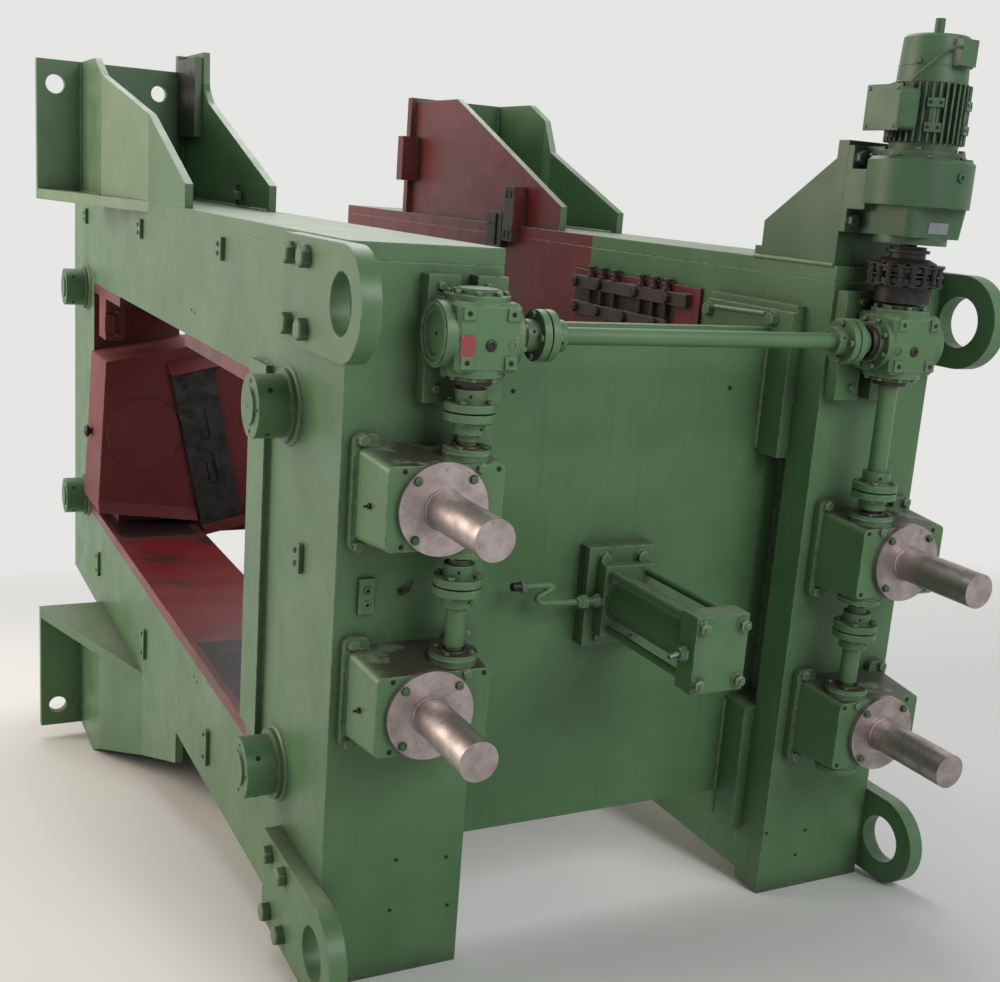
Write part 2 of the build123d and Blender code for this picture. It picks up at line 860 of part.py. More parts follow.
gearbox_reach = gearbox_size / 2 + gearbox_cover_thickness
pad_pitch = gearbox_size - 2 * gearbox_edge - gearbox_pad
for side, sign in sides:
    with BuildPart() as bevel_gearbox:
        with Locations((sign * shaft_x, -shaft_front, drive_z)):
            Box(gearbox_size, gearbox_size, gearbox_size)
        chamfer(bevel_gearbox.edges(), gearbox_edge)
        with BuildSketch(Plane.XZ.offset(shaft_front + gearbox_size / 2)):
            with Locations((sign * shaft_x, drive_z)):
                with GridLocations(pad_pitch, pad_pitch, 2, 2):
                    Rectangle(gearbox_pad, gearbox_pad)
        extrude(amount=gearbox_pad_thickness)
        with Locations((sign * shaft_x, -shaft_front, drive_z)):
            for turn in ((0, 0, 0), (0, 90, 0)):
                Cylinder(gearbox_cover_radius, gearbox_size + 2 * cover_flange_thickness, rotation=turn)
                Cylinder(cover_step_radius, 2 * gearbox_reach, rotation=turn)
        with Locations((sign * (shaft_x + gearbox_size / 2), -shaft_front, drive_z)):
            Cylinder(gearbox_cover_radius, 2 * gearbox_cover_thickness, rotation=(0, 90, 0))
        with Locations((sign * (shaft_x + gearbox_reach), -shaft_front, drive_z)):
            Cylinder(cover_recess_radius, 2 * cover_recess_depth, rotation=(0, 90, 0), mode=Mode.SUBTRACT)
        with Locations((sign * shaft_x, -shaft_front, drive_z - gearbox_reach)):
            Cylinder(stub_radius + bore_clearance, 2 * bore_depth, mode=Mode.SUBTRACT)
        with Locations((sign * (shaft_x - gearbox_reach), -shaft_front, drive_z)):
            Cylinder(stub_radius + bore_clearance, 2 * bore_depth, rotation=(0, 90, 0), mode=Mode.SUBTRACT)
        if sign > 0:
            with Locations((sign * shaft_x, -shaft_front, drive_z + gearbox_reach)):
                Cylinder(stub_radius + bore_clearance, 2 * bore_depth, mode=Mode.SUBTRACT)
    hand_over(bevel_gearbox.part, f"{side}_bevel_gearbox")

# Drive shafts, each drawn along its own axis from the middle of its lower bearing face
rod = (Align.CENTER, Align.CENTER, Align.MIN)
coupling_half = (coupling_thickness - coupling_gap) / 2
half_offset = (coupling_half + coupling_gap) / 2


def shaft(length, couplings, tube_radius):
    """A round shaft with a stub in a bore at each end and flange couplings between its hubs."""
    with BuildPart() as turned:
        with Locations((0, 0, end_gap - bore_depth)):
            Cylinder(stub_radius, length + 2 * (bore_depth - end_gap), align=rod)
        for centre in couplings:
            with Locations((0, 0, centre)):
                Cylinder(hub_radius, coupling_thickness + 2 * hub_length)
            with Locations((0, 0, centre - half_offset), (0, 0, centre + half_offset)):
                Cylinder(coupling_radius, coupling_half)
        if tube_radius > stub_radius:
            with Locations((0, 0, tube_margin)):
                Cylinder(tube_radius, length - 2 * tube_margin, align=rod)
    return turned.part


gearbox_low = drive_z - gearbox_reach
for side, sign, jacks, upper_drop, lower_drop in (
    ("left", -1, left_jacks, left_upper_coupling_drop, left_lower_coupling_drop),
    ("right", 1, right_jacks, right_upper_coupling_drop, right_lower_coupling_drop),
):
    for level, top, jack_z, drop in (
        ("upper", gearbox_low, jacks[0], upper_drop), ("lower", jacks[0] - worm_rise, jacks[1], lower_drop)
    ):
        bottom = jack_z + worm_rise
        turned = shaft(top - bottom, (frame_height - drop - bottom,), down_tube_radius)
        hand_over(Pos(sign * shaft_x, -shaft_front, bottom) * turned, f"{side}_{level}_shaft")

cross_span = 2 * (shaft_x - gearbox_reach)
couplings = (cross_span / 2 - cross_coupling_x, cross_span / 2 + cross_coupling_x)
turned = shaft(cross_span, couplings, cross_tube_radius)
hand_over(Pos(-cross_span / 2, -shaft_front, drive_z) * Rot(0, 90, 0) * turned, "cross_shaft")

# Chain coupling between the right gearbox and the geared motor: two sprockets under one duplex chain
chain_low = drive_z + gearbox_reach
chain_z = drive_z + chain_rise
chain_half = chain_height / 2
link_angle = 360 / chain_links
link_length = 2 * chain_pitch_radius * sin(pi / chain_links)
link_radius = chain_pitch_radius * cos(pi / chain_links)
with BuildPart() as chain_coupling:
    with Locations((shaft_x, -shaft_front, chain_low + end_gap - bore_depth)):
        Cylinder(stub_radius, gear_bottom - chain_low + 2 * (bore_depth - end_gap), align=rod)
    with Locations((shaft_x, -shaft_front, chain_low + running_gap)):
        Cylinder(chain_hub_radius, chain_z - chain_low - running_gap - chain_half, align=rod)
    with Locations((shaft_x, -shaft_front, chain_z)):
        Cylinder(upper_hub_radius, gear_bottom - running_gap - chain_z, align=rod)
    for row_z in (chain_z - chain_half / 2, chain_z + chain_half / 2):
        with Locations((shaft_x, -shaft_front, row_z)):
            Cylinder(chain_pitch_radius, sprocket_thickness)
    with Locations((shaft_x, -shaft_front, chain_z)):
        Cylinder(chain_pitch_radius - chain_plate_width / 2, chain_height - 2 * chain_plate_thickness)
        with PolarLocations(chain_pitch_radius, chain_links):
            Cylinder(chain_pin_radius, chain_height)
    outer = (-chain_half, -chain_plate_thickness / 2, chain_half - chain_plate_thickness)
    inner = (chain_plate_thickness - chain_half, chain_half - 2 * chain_plate_thickness)
    for first, levels in ((link_angle / 2, outer), (3 * link_angle / 2, inner)):
        for level in levels:
            with BuildSketch(Plane.XY.offset(chain_z + level)):
                with Locations((shaft_x, -shaft_front)):
                    with PolarLocations(link_radius, chain_links // 2, start_angle=first):
                        SlotCenterToCenter(link_length, chain_plate_width, rotation=90)
            extrude(amount=chain_plate_thickness)
hand_over(chain_coupling.part, "chain_coupling")

# Bracket and geared motor on the right column's top
motor_plate_rear = motor_plate_front + motor_plate_thickness
base_top = frame_height + motor_base_thickness
motor_bracket_top = frame_height + motor_bracket_height
with BuildPart() as motor_bracket:
    with BuildSketch(Plane.XY.offset(frame_height)):
        with Locations((shaft_x, motor_plate_front)):
            Rectangle(motor_bracket_width, motor_base_length, align=(Align.CENTER, Align.MIN))
    extrude(amount=motor_base_thickness)
    with BuildSketch(Plane.XZ.offset(-motor_plate_rear)):
        with Locations((shaft_x, base_top)):
            Rectangle(motor_bracket_width, motor_bracket_top - base_top, align=(Align.CENTER, Align.MIN))
    extrude(amount=motor_plate_thickness)
    for gusset_x in (
        shaft_x - motor_bracket_width / 2, shaft_x + motor_bracket_width / 2 - motor_gusset_thickness
    ):
        with BuildSketch(Plane.YZ.offset(gusset_x)):
            with BuildLine():
                Polyline(
                    (motor_plate_rear, base_top), (motor_gusset_foot, base_top),
                    (motor_gusset_foot, base_top + motor_gusset_heel),
                    (motor_plate_rear, motor_bracket_top - motor_gusset_drop), close=True,
                )
            make_face()
        extrude(amount=motor_gusset_thickness)
hand_over(motor_bracket.part, "motor_bracket")

case_bottom = gear_bottom + output_flange_thickness
drum_bottom = case_bottom + lower_case_height
drum_top = drum_bottom + drum_height
motor_bottom = drum_top + adapter_height + motor_flange_height
foot_front = motor_plate_front - gear_foot_depth
pocket_depth = gear_foot_depth - gear_foot_plate
pocket_offset = (motor_bracket_width - foot_pocket_width) / 2
with BuildPart() as gear_unit:
    with BuildSketch(Plane.XY.offset(drum_bottom)):
        with Locations((shaft_x, -shaft_front)):
            Circle(drum_radius)
    extrude(amount=drum_height)
    chamfer(gear_unit.edges().group_by(Axis.Z)[-1], drum_edge)
    with BuildSketch(Plane.XY.offset(case_bottom)):
        with Locations((shaft_x, -shaft_front)):
            RectangleRounded(lower_case_foot, lower_case_foot, lower_case_radius)
    with BuildSketch(Plane.XY.offset(drum_bottom)):
        with Locations((shaft_x, -shaft_front)):
            RectangleRounded(lower_case_width, lower_case_width, lower_case_radius)
    loft()
    with BuildSketch(Plane.XY.offset(case_bottom)):
        with Locations((shaft_x, motor_plate_front)):
            Rectangle(motor_bracket_width, gear_foot_depth, align=(Align.CENTER, Align.MAX))
    extrude(amount=gear_foot_height)
    for level in (case_bottom, case_bottom + gear_foot_height - foot_pocket_height):
        with BuildSketch(Plane.XY.offset(level)):
            with Locations((shaft_x - pocket_offset, foot_front), (shaft_x + pocket_offset, foot_front)):
                Rectangle(foot_pocket_width, pocket_depth, align=(Align.CENTER, Align.MIN))
        extrude(amount=foot_pocket_height, mode=Mode.SUBTRACT)
    for level, height, radius in (
        (gear_bottom, output_flange_thickness, output_flange_radius),
        (drum_top, adapter_height, adapter_radius),
        (drum_top + adapter_height, motor_flange_height, motor_flange_radius),
    ):
        with BuildSketch(Plane.XY.offset(level)):
            with Locations((shaft_x, -shaft_front)):
                Circle(radius)
        extrude(amount=height)
    with Locations((shaft_x, -shaft_front, gear_bottom)):
        Cylinder(stub_radius + bore_clearance, 2 * bore_depth, mode=Mode.SUBTRACT)
hand_over(gear_unit.part, "gear_unit")

motor_top = motor_bottom + motor_height
fan_cover_top = motor_top + fan_cover_height
box_angle = radians(brake_box_angle)
with BuildPart() as motor:
    with BuildSketch(Plane.XY.offset(motor_top)):
        with Locations((shaft_x, -shaft_front)):
            Circle(fan_cover_radius)
    with BuildSketch(Plane.XY.offset(fan_cover_top)):
        with Locations((shaft_x, -shaft_front)):
            Circle(fan_cover_radius - fan_cover_taper)
    loft()
    chamfer(motor.edges().group_by(Axis.Z)[-1], fan_cover_edge)
    with BuildSketch(Plane.XY.offset(motor_bottom)):
        with Locations((shaft_x, -shaft_front)):
            Circle(motor_core_radius)
            with PolarLocations(motor_core_radius, fin_count):
                Rectangle(2 * (motor_radius - motor_core_radius), fin_thickness)
    extrude(amount=motor_height)
    with Locations((shaft_x, -shaft_front, fan_cover_top)):
        Cylinder(fan_stub_radius, fan_stub_height, align=rod)
    with BuildSketch(Plane.YZ.offset(shaft_x - motor_core_radius)):
        with Locations((-shaft_front, motor_bottom + terminal_box_rise + terminal_box_height / 2)):
            RectangleRounded(terminal_box_depth, terminal_box_height, terminal_box_radius)
    extrude(amount=-terminal_box_width)
    box_x = shaft_x + fan_cover_radius * cos(box_angle)
    box_y = -shaft_front - fan_cover_radius * sin(box_angle)
    box_z = fan_cover_top - brake_box_drop - brake_box_height / 2
    with Locations(Location((box_x, box_y, box_z), (0, 0, -brake_box_angle))):
        Box(brake_box_depth, brake_box_width, brake_box_height)
hand_over(motor.part, "motor")

# Hydraulic cylinder on its two flange plates
with BuildPart() as cylinder_flange:
    with BuildSketch(Plane.XZ.offset(-panel_front)):
        with Locations((cylinder_x, cylinder_z)):
            Rectangle(cylinder_flange_width, cylinder_flange_height)
    extrude(amount=2 * cylinder_flange_thickness)
hand_over(cylinder_flange.part, "cylinder_flange")

cylinder_back = panel_front - 2 * cylinder_flange_thickness
head_back = cylinder_head_depth - cylinder_front
with BuildPart() as hydraulic_cylinder:
    with BuildSketch(Plane.XZ.offset(-cylinder_back), Plane.XZ.offset(-head_back)):
        with Locations((cylinder_x, cylinder_z)):
            Rectangle(cylinder_head_width, cylinder_head_height)
    extrude(amount=cylinder_cap_depth)
    with BuildSketch(Plane.XZ.offset(-head_back)):
        with Locations((cylinder_x, cylinder_z)):
            Rectangle(cylinder_head_width, cylinder_head_height)
    extrude(amount=cylinder_head_depth)
    with BuildSketch(Plane.XZ.offset(-cylinder_back)):
        with Locations((cylinder_x, cylinder_z)):
            Circle(cylinder_tube_radius)
            with GridLocations(
                cylinder_head_width - 2 * tie_rod_inset, cylinder_head_height - 2 * tie_rod_inset, 2, 2
            ):
                Circle(tie_rod_radius)
    extrude(amount=cylinder_back - head_back)
hand_over(hydraulic_cylinder.part, "hydraulic_cylinder")
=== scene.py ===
import json
import math
from functools import partial
from itertools import product

import bmesh
import bpy
from bpy.props import FloatProperty, FloatVectorProperty, IntProperty, PointerProperty
from bpy.types import Operator, Panel, PropertyGroup
from mathutils import Matrix, Vector


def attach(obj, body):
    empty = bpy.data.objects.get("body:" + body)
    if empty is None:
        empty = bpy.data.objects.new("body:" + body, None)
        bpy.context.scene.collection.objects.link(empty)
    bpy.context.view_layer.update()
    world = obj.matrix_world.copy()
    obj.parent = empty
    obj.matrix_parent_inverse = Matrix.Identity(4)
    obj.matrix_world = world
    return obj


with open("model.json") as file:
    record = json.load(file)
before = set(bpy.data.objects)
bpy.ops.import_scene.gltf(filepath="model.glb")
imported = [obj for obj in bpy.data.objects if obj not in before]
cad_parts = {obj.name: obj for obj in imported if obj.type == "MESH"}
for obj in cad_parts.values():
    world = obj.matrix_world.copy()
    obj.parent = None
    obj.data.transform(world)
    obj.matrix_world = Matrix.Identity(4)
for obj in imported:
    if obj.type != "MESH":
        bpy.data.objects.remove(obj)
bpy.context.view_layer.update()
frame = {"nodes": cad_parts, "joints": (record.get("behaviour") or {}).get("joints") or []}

bl_info = {
    "name": "Straightening machine dresser",
    "version": (1, 0, 0),
    "blender": (4, 5, 0),
    "location": "3D View > Sidebar > Machine",
    "description": "Bolts, covers, plates, paint and studio for the straightening machine's frame",
    "category": "Object",
}

JOINTS = {joint["name"]: joint for joint in frame["joints"]}
NODES = frame["nodes"]

# One millimetre in the row's metres
MM = 0.001

# Where the pieces sit, in millimetres square to the columns: X across, Y to the rear, Z up a column
SIDES = (-1, 1)
FRONT, UP, DOWN = Vector((0, -1, 0)), Vector((0, 0, 1)), Vector((0, 0, -1))
SIDE_FACE, PANEL_FACE = 850, 200
LUG_FACE = SIDE_FACE + 45
LUG_LEVELS = (1672, 152)
BOSSES = [(y, z) for y in (381, 3357) for z in (427, 1375)]
BOSS_FACE, BOSS_MIDDLE, BOSS_COVER = 949, 918, 955
# Each side tab's place and how tall it is beside the smallest
SIDE_TABS = (
    (1042, 1708, 1.0), (2172, 1698, 1.05), (3354, 1685, 1.0), (240, 1026, 1.1),
    (1077, 166, 1.75), (2029, 169, 1.75), (3017, 193, 1.6),
)
# The screw jacks' levels, their housings and guard discs
JACKS = ((-1, 1250), (-1, 775), (1, 1043), (1, 557))
JACK_X, JACK_FRONT, JACK_SEAL = 670, -180, 122.5
GUARD_X, GUARD_FRONT = 680, -195
# The vertical shafts' line, the cross shaft's level and how far the gearboxes' flanges and seals stand out
SHAFT_X, SHAFT_Y, DRIVE_Z = 600, -120, 1620
FLANGE_OUT, SEAL_OUT = 87, 97
DOWN_COUPLINGS = (
    ("left_upper_drive", -1, 1452),
    ("left_lower_drive", -1, 1055),
    ("right_upper_drive", 1, 1229),
    ("right_lower_drive", 1, 841),
)
# How far the wear plates lean, in degrees
WEAR_PLATE_LEAN = 12.2
# The hydraulic cylinder's line and its port's level
CYLINDER_X, CYLINDER_Z, PORT_Z = 10, 895, 893


def machine_stance():
    """From millimetres square to the columns to the row's metres, read from the drive's joints."""
    upright = Vector(JOINTS["motor_coupling_spin"]["axis"])
    lean = math.atan2(-upright.y, upright.z)
    turn = Matrix.Rotation(lean, 4, "X")
    drive = Vector((0, SHAFT_Y / 1000, DRIVE_Z / 1000))
    cross = Vector(JOINTS["cross_shaft_spin"]["pos_m"]) - turn @ drive
    return Matrix.Translation((0, cross.y, 0)) @ turn @ Matrix.Scale(MM, 4)


STANCE = machine_stance()


# Colours


def linear(hex_colour):
    """An sRGB hex value as linear light."""
    parts = [int(hex_colour[i : i + 2], 16) / 255 for i in (1, 3, 5)]
    return tuple(p / 12.92 if p <= 0.04045 else ((p + 0.055) / 1.055) ** 2.4 for p in parts) + (1.0,)


def colour_property(name, description, hex_colour):
    default = linear(hex_colour)
    return FloatVectorProperty(
        name=name, description=description, subtype="COLOR", size=4, min=0.0, max=1.0, default=default
    )


def size_property(name, description, metres):
    return FloatProperty(name=name, description=description, unit="LENGTH", min=0.0, default=metres)


class MachineSettings(PropertyGroup):
    """Sizes and colours of the pieces that dress the machine."""

    green: colour_property("Green enamel", "The machine's green paint where it lies thick", "#466844")
    green_pale: colour_property("Pale green", "The same paint where it has faded", "#51734e")
    # This colour also paints the shade in the green paint's corners and crevices
    grime_and_shade: colour_property("Grime", "Dust and oil that lie in the green paint", "#34362c")
    red: colour_property("Red primer", "The red primer in shade", "#5c1419")
    red_pale: colour_property("Pale red", "The red primer where it has chalked", "#6c2227")
    # This colour also paints a highlight along every edge, beside the worn paint
    edge_wear_and_highlight: colour_property("Rubbed edge", "Paint worn thin along an edge", "#a3ad96")
    steel: colour_property("Turned steel", "Bare turned steel of the screw guards", "#b1a6a5")
    dark_steel: colour_property("Dark steel", "Oiled dark steel of chains and wear plates", "#2a2725")
    plate_red: colour_property("Gearbox plate", "The bare red plate on the gearbox", "#8e2f33")
    floor: colour_property("Floor", "The pale studio floor", "#dcdcdc")
    lug_thread: size_property("Lug bolt thread", "Thread of the bolts through the lifting lugs", 0.030)
    rail_thread: size_property("Rail bolt thread", "Thread of the bolts in the gearbox rails", 0.012)
    cover_thread: size_property("Cover bolt thread", "Thread of the gearbox cover bolts", 0.008)
    coupling_thread: size_property("Coupling bolt thread", "Thread of the shaft coupling bolts", 0.010)
    tie_nut_thread: size_property("Tie rod thread", "Thread of the cylinder's tie rod nuts", 0.018)
    tab_height: size_property("Side tab height", "Height of the small tabs on the frame's sides", 0.066)
    weld_size: size_property("Weld size", "Height of the weld beads", 0.009)
    pipe_radius: size_property("Pipe radius", "Radius of the cylinder's short bent pipe", 0.0085)
    cable_diameter: size_property("Brake cable", "Diameter of the motor's short brake cable", 0.008)
    cover_bolts: IntProperty(name="Cover bolts", description="Bolts round a gearbox cover", min=3, default=8)


def mm(metres):
    return metres * 1000


# Shapes, in millimetres square to the columns

# The corner taken off a hexagon head, as a share of its width, and a washer's thickness beside its thread
HEAD_CHAMFER, WASHER = 0.07, 0.14
# Edges sharper than this stay sharp and get rounded
SHARP = math.radians(38)


def aim(at, direction):
    """The matrix that puts a shape drawn up Z at a point, pointing along a direction."""
    return Matrix.Translation(at) @ Vector(direction).to_track_quat("Z", "Y").to_matrix().to_4x4()


def bearing(degrees):
    """The level direction at an angle from X."""
    return Vector((math.cos(math.radians(degrees)), math.sin(math.radians(degrees)), 0))


def around(centre, direction, radius, count, start=0.0):
    """Points evenly round a circle that faces along a direction."""
    place = aim(centre, direction)
    angles = [math.radians(start) + math.tau * i / count for i in range(count)]
    return [place @ Vector((radius * math.cos(a), radius * math.sin(a), 0)) for a in angles]


def block(bm, corner, opposite, place=None):
    """A box between two corners, which a matrix may then place."""
    low, high = (Vector([pick(pair) for pair in zip(corner, opposite)]) for pick in (min, max))
    made = bmesh.ops.create_cube(bm, size=1.0)["verts"]
    bmesh.ops.scale(bm, vec=high - low, verts=made)
    bmesh.ops.translate(bm, vec=(low + high) / 2, verts=made)
    if place:
        bmesh.ops.transform(bm, matrix=place, verts=made)


def rod(bm, start, end, radius, tip=None, sides=24):
    """A round or many-sided bar from one point to another."""
    start, end = Vector(start), Vector(end)
    bmesh.ops.create_cone(
        bm,
        cap_ends=True,
        segments=sides,
        radius1=radius,
        radius2=radius if tip is None else tip,
        depth=(end - start).length,
        matrix=aim((start + end) / 2, end - start),
    )


def turned(bm, at, direction, profile, steps=40, closed=False, start=0.0):
    """A turned piece from a profile of radius and height pairs, flat where it ends off its axis."""
    place = aim(at, direction)
    angles = [start + math.tau * i / steps for i in range(steps)]
    rows = []
    for radius, height in profile:
        row = angles if radius else angles[:1]
        row = [Vector((radius * math.cos(a), radius * math.sin(a), height)) for a in row]
        row = [bm.verts.new(place @ point) for point in row]
        rows.append(row if radius else row * steps)
    loops = [
        (low[i - 1], low[i], high[i], high[i - 1])
        for low, high in zip(rows, rows[1:] + rows[:1] if closed else rows[1:])
        for i in range(steps)
    ]
    if not closed:
        loops += [rows[0], rows[-1]]
    # A point on the axis is shared all round, so the loops there have fewer corners
    loops = [list(dict.fromkeys(loop)) for loop in loops]
    made = [bm.faces.new(loop) for loop in loops if len(loop) > 2]
    bmesh.ops.recalc_face_normals(bm, faces=made)


def ring(bm, at, direction, profile, steps=40):
    """A turned ring, whose profile closes on itself."""
    turned(bm, at, direction, profile, steps, closed=True)


def prism(bm, outline, push):
    """A flat outline, given as points in space, pushed along a vector."""
    near = [bm.verts.new(Vector(p)) for p in outline]
    far = [bm.verts.new(Vector(p) + Vector(push)) for p in outline]
    sides = [(near[i - 1], near[i], far[i], far[i - 1]) for i in range(len(outline))]
    bmesh.ops.recalc_face_normals(bm, faces=[bm.faces.new(loop) for loop in (near, far, *sides)])


def hexagon(bm, at, direction, across, height):
    """A hexagon head or nut with its top corners taken off."""
    corner, cut = across / math.sqrt(3), across * HEAD_CHAMFER
    profile = ((corner, 0), (corner, height - cut), (corner - cut * 2 / math.sqrt(3), height))
    turned(bm, at, direction, profile, steps=6, start=math.pi / 2)


def bolt(bm, at, direction, thread, washer=True, stud=0.0, height=0.66):
    """A hexagon bolt head on a washer, or a nut with its stud end showing."""
    direction = Vector(direction).normalized()
    at = Vector(at)
    if washer:
        rod(bm, at, at + direction * thread * WASHER, thread * 0.98)
        at = at + direction * thread * WASHER
    hexagon(bm, at, direction, thread * 1.5, thread * (0.8 if stud else height))
    if stud:
        rod(bm, at, at + direction * (thread * 0.8 + stud), thread * 0.47, sides=14)


def socket_screw(bm, at, direction, thread):
    """A socket cap screw head with its key hole."""
    r, key, floor = thread * 0.75, thread * 0.42, thread / 2
    profile = [(0, 0), (r, 0), (r, thread * 0.9), (r * 0.9, thread), (key, thread), (key, floor), (0, floor)]
    turned(bm, at, direction, profile, steps=16)


def hole(kit, at, direction, radius, depth=0.8, sides=20):
    """A near-black disc a hair above its face: the painted shadow in a tapped hole's mouth."""
    direction = Vector(direction).normalized()
    rod(kit["shadow"], at, Vector(at) + direction * depth, radius, sides=sides)


def new_object(name, data):
    """Puts a mesh, curve, lamp or camera into the scene as an object."""
    made = bpy.data.objects.new(name, data)
    bpy.context.scene.collection.objects.link(made)
    return made


def finish(bm, name, body, slot, material, edge):
    """Leans a shape into place, makes its object and gives it its paint and body."""
    bmesh.ops.transform(bm, matrix=STANCE, verts=bm.verts)
    for line in bm.edges:
        line.smooth = line.calc_face_angle(0) < SHARP
    for face in bm.faces:
        face.smooth = True
    mesh = bpy.data.meshes.new(name)
    bm.to_mesh(mesh)
    bm.free()
    piece = new_object(name, mesh)
    mesh.materials.append(material)
    if edge:
        rounded = piece.modifiers.new("rounded edges", "BEVEL")
        rounded.width = edge / 1000
        rounded.segments = 2
        rounded.limit_method = "ANGLE"
        rounded.angle_limit = SHARP
        rounded.harden_normals = True
    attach(piece, body)


class Kit:
    """Shapes of one group, gathered by finish, that become one object for each finish."""

    def __init__(self, name, body="machine"):
        self.name = name
        self.body = body
        self.shapes = {}

    def __getitem__(self, paint):
        if paint not in self.shapes:
            self.shapes[paint] = bmesh.new()
        return self.shapes[paint]

    def hand_over(self, edge=0.0):
        for paint, bm in self.shapes.items():
            rounding = 0.0 if paint == "shadow" else edge
            finish(bm, f"{self.name}_{paint}", self.body, SLOTS[paint], MATERIALS[paint], rounding)
        return {"FINISHED"}


# Materials


def add_node(tree, kind, inputs=None, output=0, **settings):
    """Adds a shader node with its settings, sets or links its sockets and gives back one output."""
    made = tree.nodes.new("ShaderNode" + kind)
    for name, value in settings.items():
        setattr(made, name, value)
    for socket, value in (inputs or {}).items():
        if isinstance(value, bpy.types.NodeSocket):
            tree.links.new(value, made.inputs[socket])
        else:
            made.inputs[socket].default_value = value
    return made.outputs[output] if made.outputs else None


def new_material(name):
    material = bpy.data.materials.new(name)
    material.use_nodes = True
    material.node_tree.nodes.clear()
    return material


def machine_space(tree):
    """Object coordinates turned back to metres square to the columns, so patterns follow the machine."""
    back = (Matrix.Scale(MM, 4) @ STANCE.inverted()).decompose()
    place = add_node(tree, "TexCoord", output="Object")
    inputs = {"Vector": place, "Location": back[0], "Rotation": back[1].to_euler()}
    return add_node(tree, "Mapping", inputs)


# How large each pattern in the paint is, in millimetres, from broad fading to the finest peel
FADING, BLOTCH, SHEEN, GRIME, DUST, OIL = 420, 240, 150, 90, 75, 70
RUNS, WEAR_AND_HIGHLIGHT, CORNER_SHADE, CHIPS, SPECKS, SCRATCHES, PEEL = 38, 30, 22, 14, 13, 9, 7
# Squeezes a pattern into upright streaks
UPRIGHT = (1, 1, 0.07)
# Metres from an edge that is worn pale with a painted highlight, and metres from a corner that painted shade
# and dirt darken
EDGE_REACH, CORNER_SHADE_REACH = 0.005, 0.07
# Metres from the middle to a jack's shaft, how far its oil creeps and within what it lies thick
OIL_AT, OIL_REACH, OIL_THICK = (0.655, 0.12, 0), 0.19, 0.12


def patches(tree, place, size_mm, low, high, detail=4.0, rough=0.6, stretch=(1, 1, 1)):
    """1 in cloudy patches about a size in millimetres and 0 between them, with soft borders."""
    spread = add_node(tree, "Mapping", {"Vector": place, "Scale": stretch})
    inputs = {"Vector": spread, "Scale": 1000 / size_mm, "Detail": detail, "Roughness": rough}
    cloud = add_node(tree, "TexNoise", inputs)
    step = {"Value": cloud, "From Min": low, "From Max": high}
    return add_node(tree, "MapRange", step, interpolation_type="SMOOTHSTEP")


def region(tree, place, low, high):
    """1 inside a box of the machine, given by two corners in millimetres square to the columns."""
    low, high = Vector(low) / 1000, Vector(high) / 1000
    off = add_node(tree, "VectorMath", {0: place, 1: (low + high) / 2}, operation="SUBTRACT")
    off = add_node(tree, "VectorMath", {0: off}, operation="ABSOLUTE")
    off = add_node(tree, "VectorMath", {0: off, 1: (high - low) / 2}, operation="SUBTRACT")
    x, y, z = (add_node(tree, "SeparateXYZ", {0: off}, axis) for axis in "XYZ")
    most = add_node(tree, "Math", {0: x, 1: y}, operation="MAXIMUM")
    most = add_node(tree, "Math", {0: most, 1: z}, operation="MAXIMUM")
    return add_node(tree, "Math", {0: most, 1: 0.0}, operation="LESS_THAN")


def lay_over(tree, colour, coats):
    """Lays coats over a colour; each coat is its colour, its strength and the masks it shows through."""
    for coat, strength, *masks in coats:
        amount = strength
        for mask in masks:
            amount = add_node(tree, "Math", {0: mask, 1: amount}, operation="MULTIPLY")
        colour = add_node(tree, "Mix", {0: amount, 6: colour, 7: coat}, 2, data_type="RGBA")
    return colour


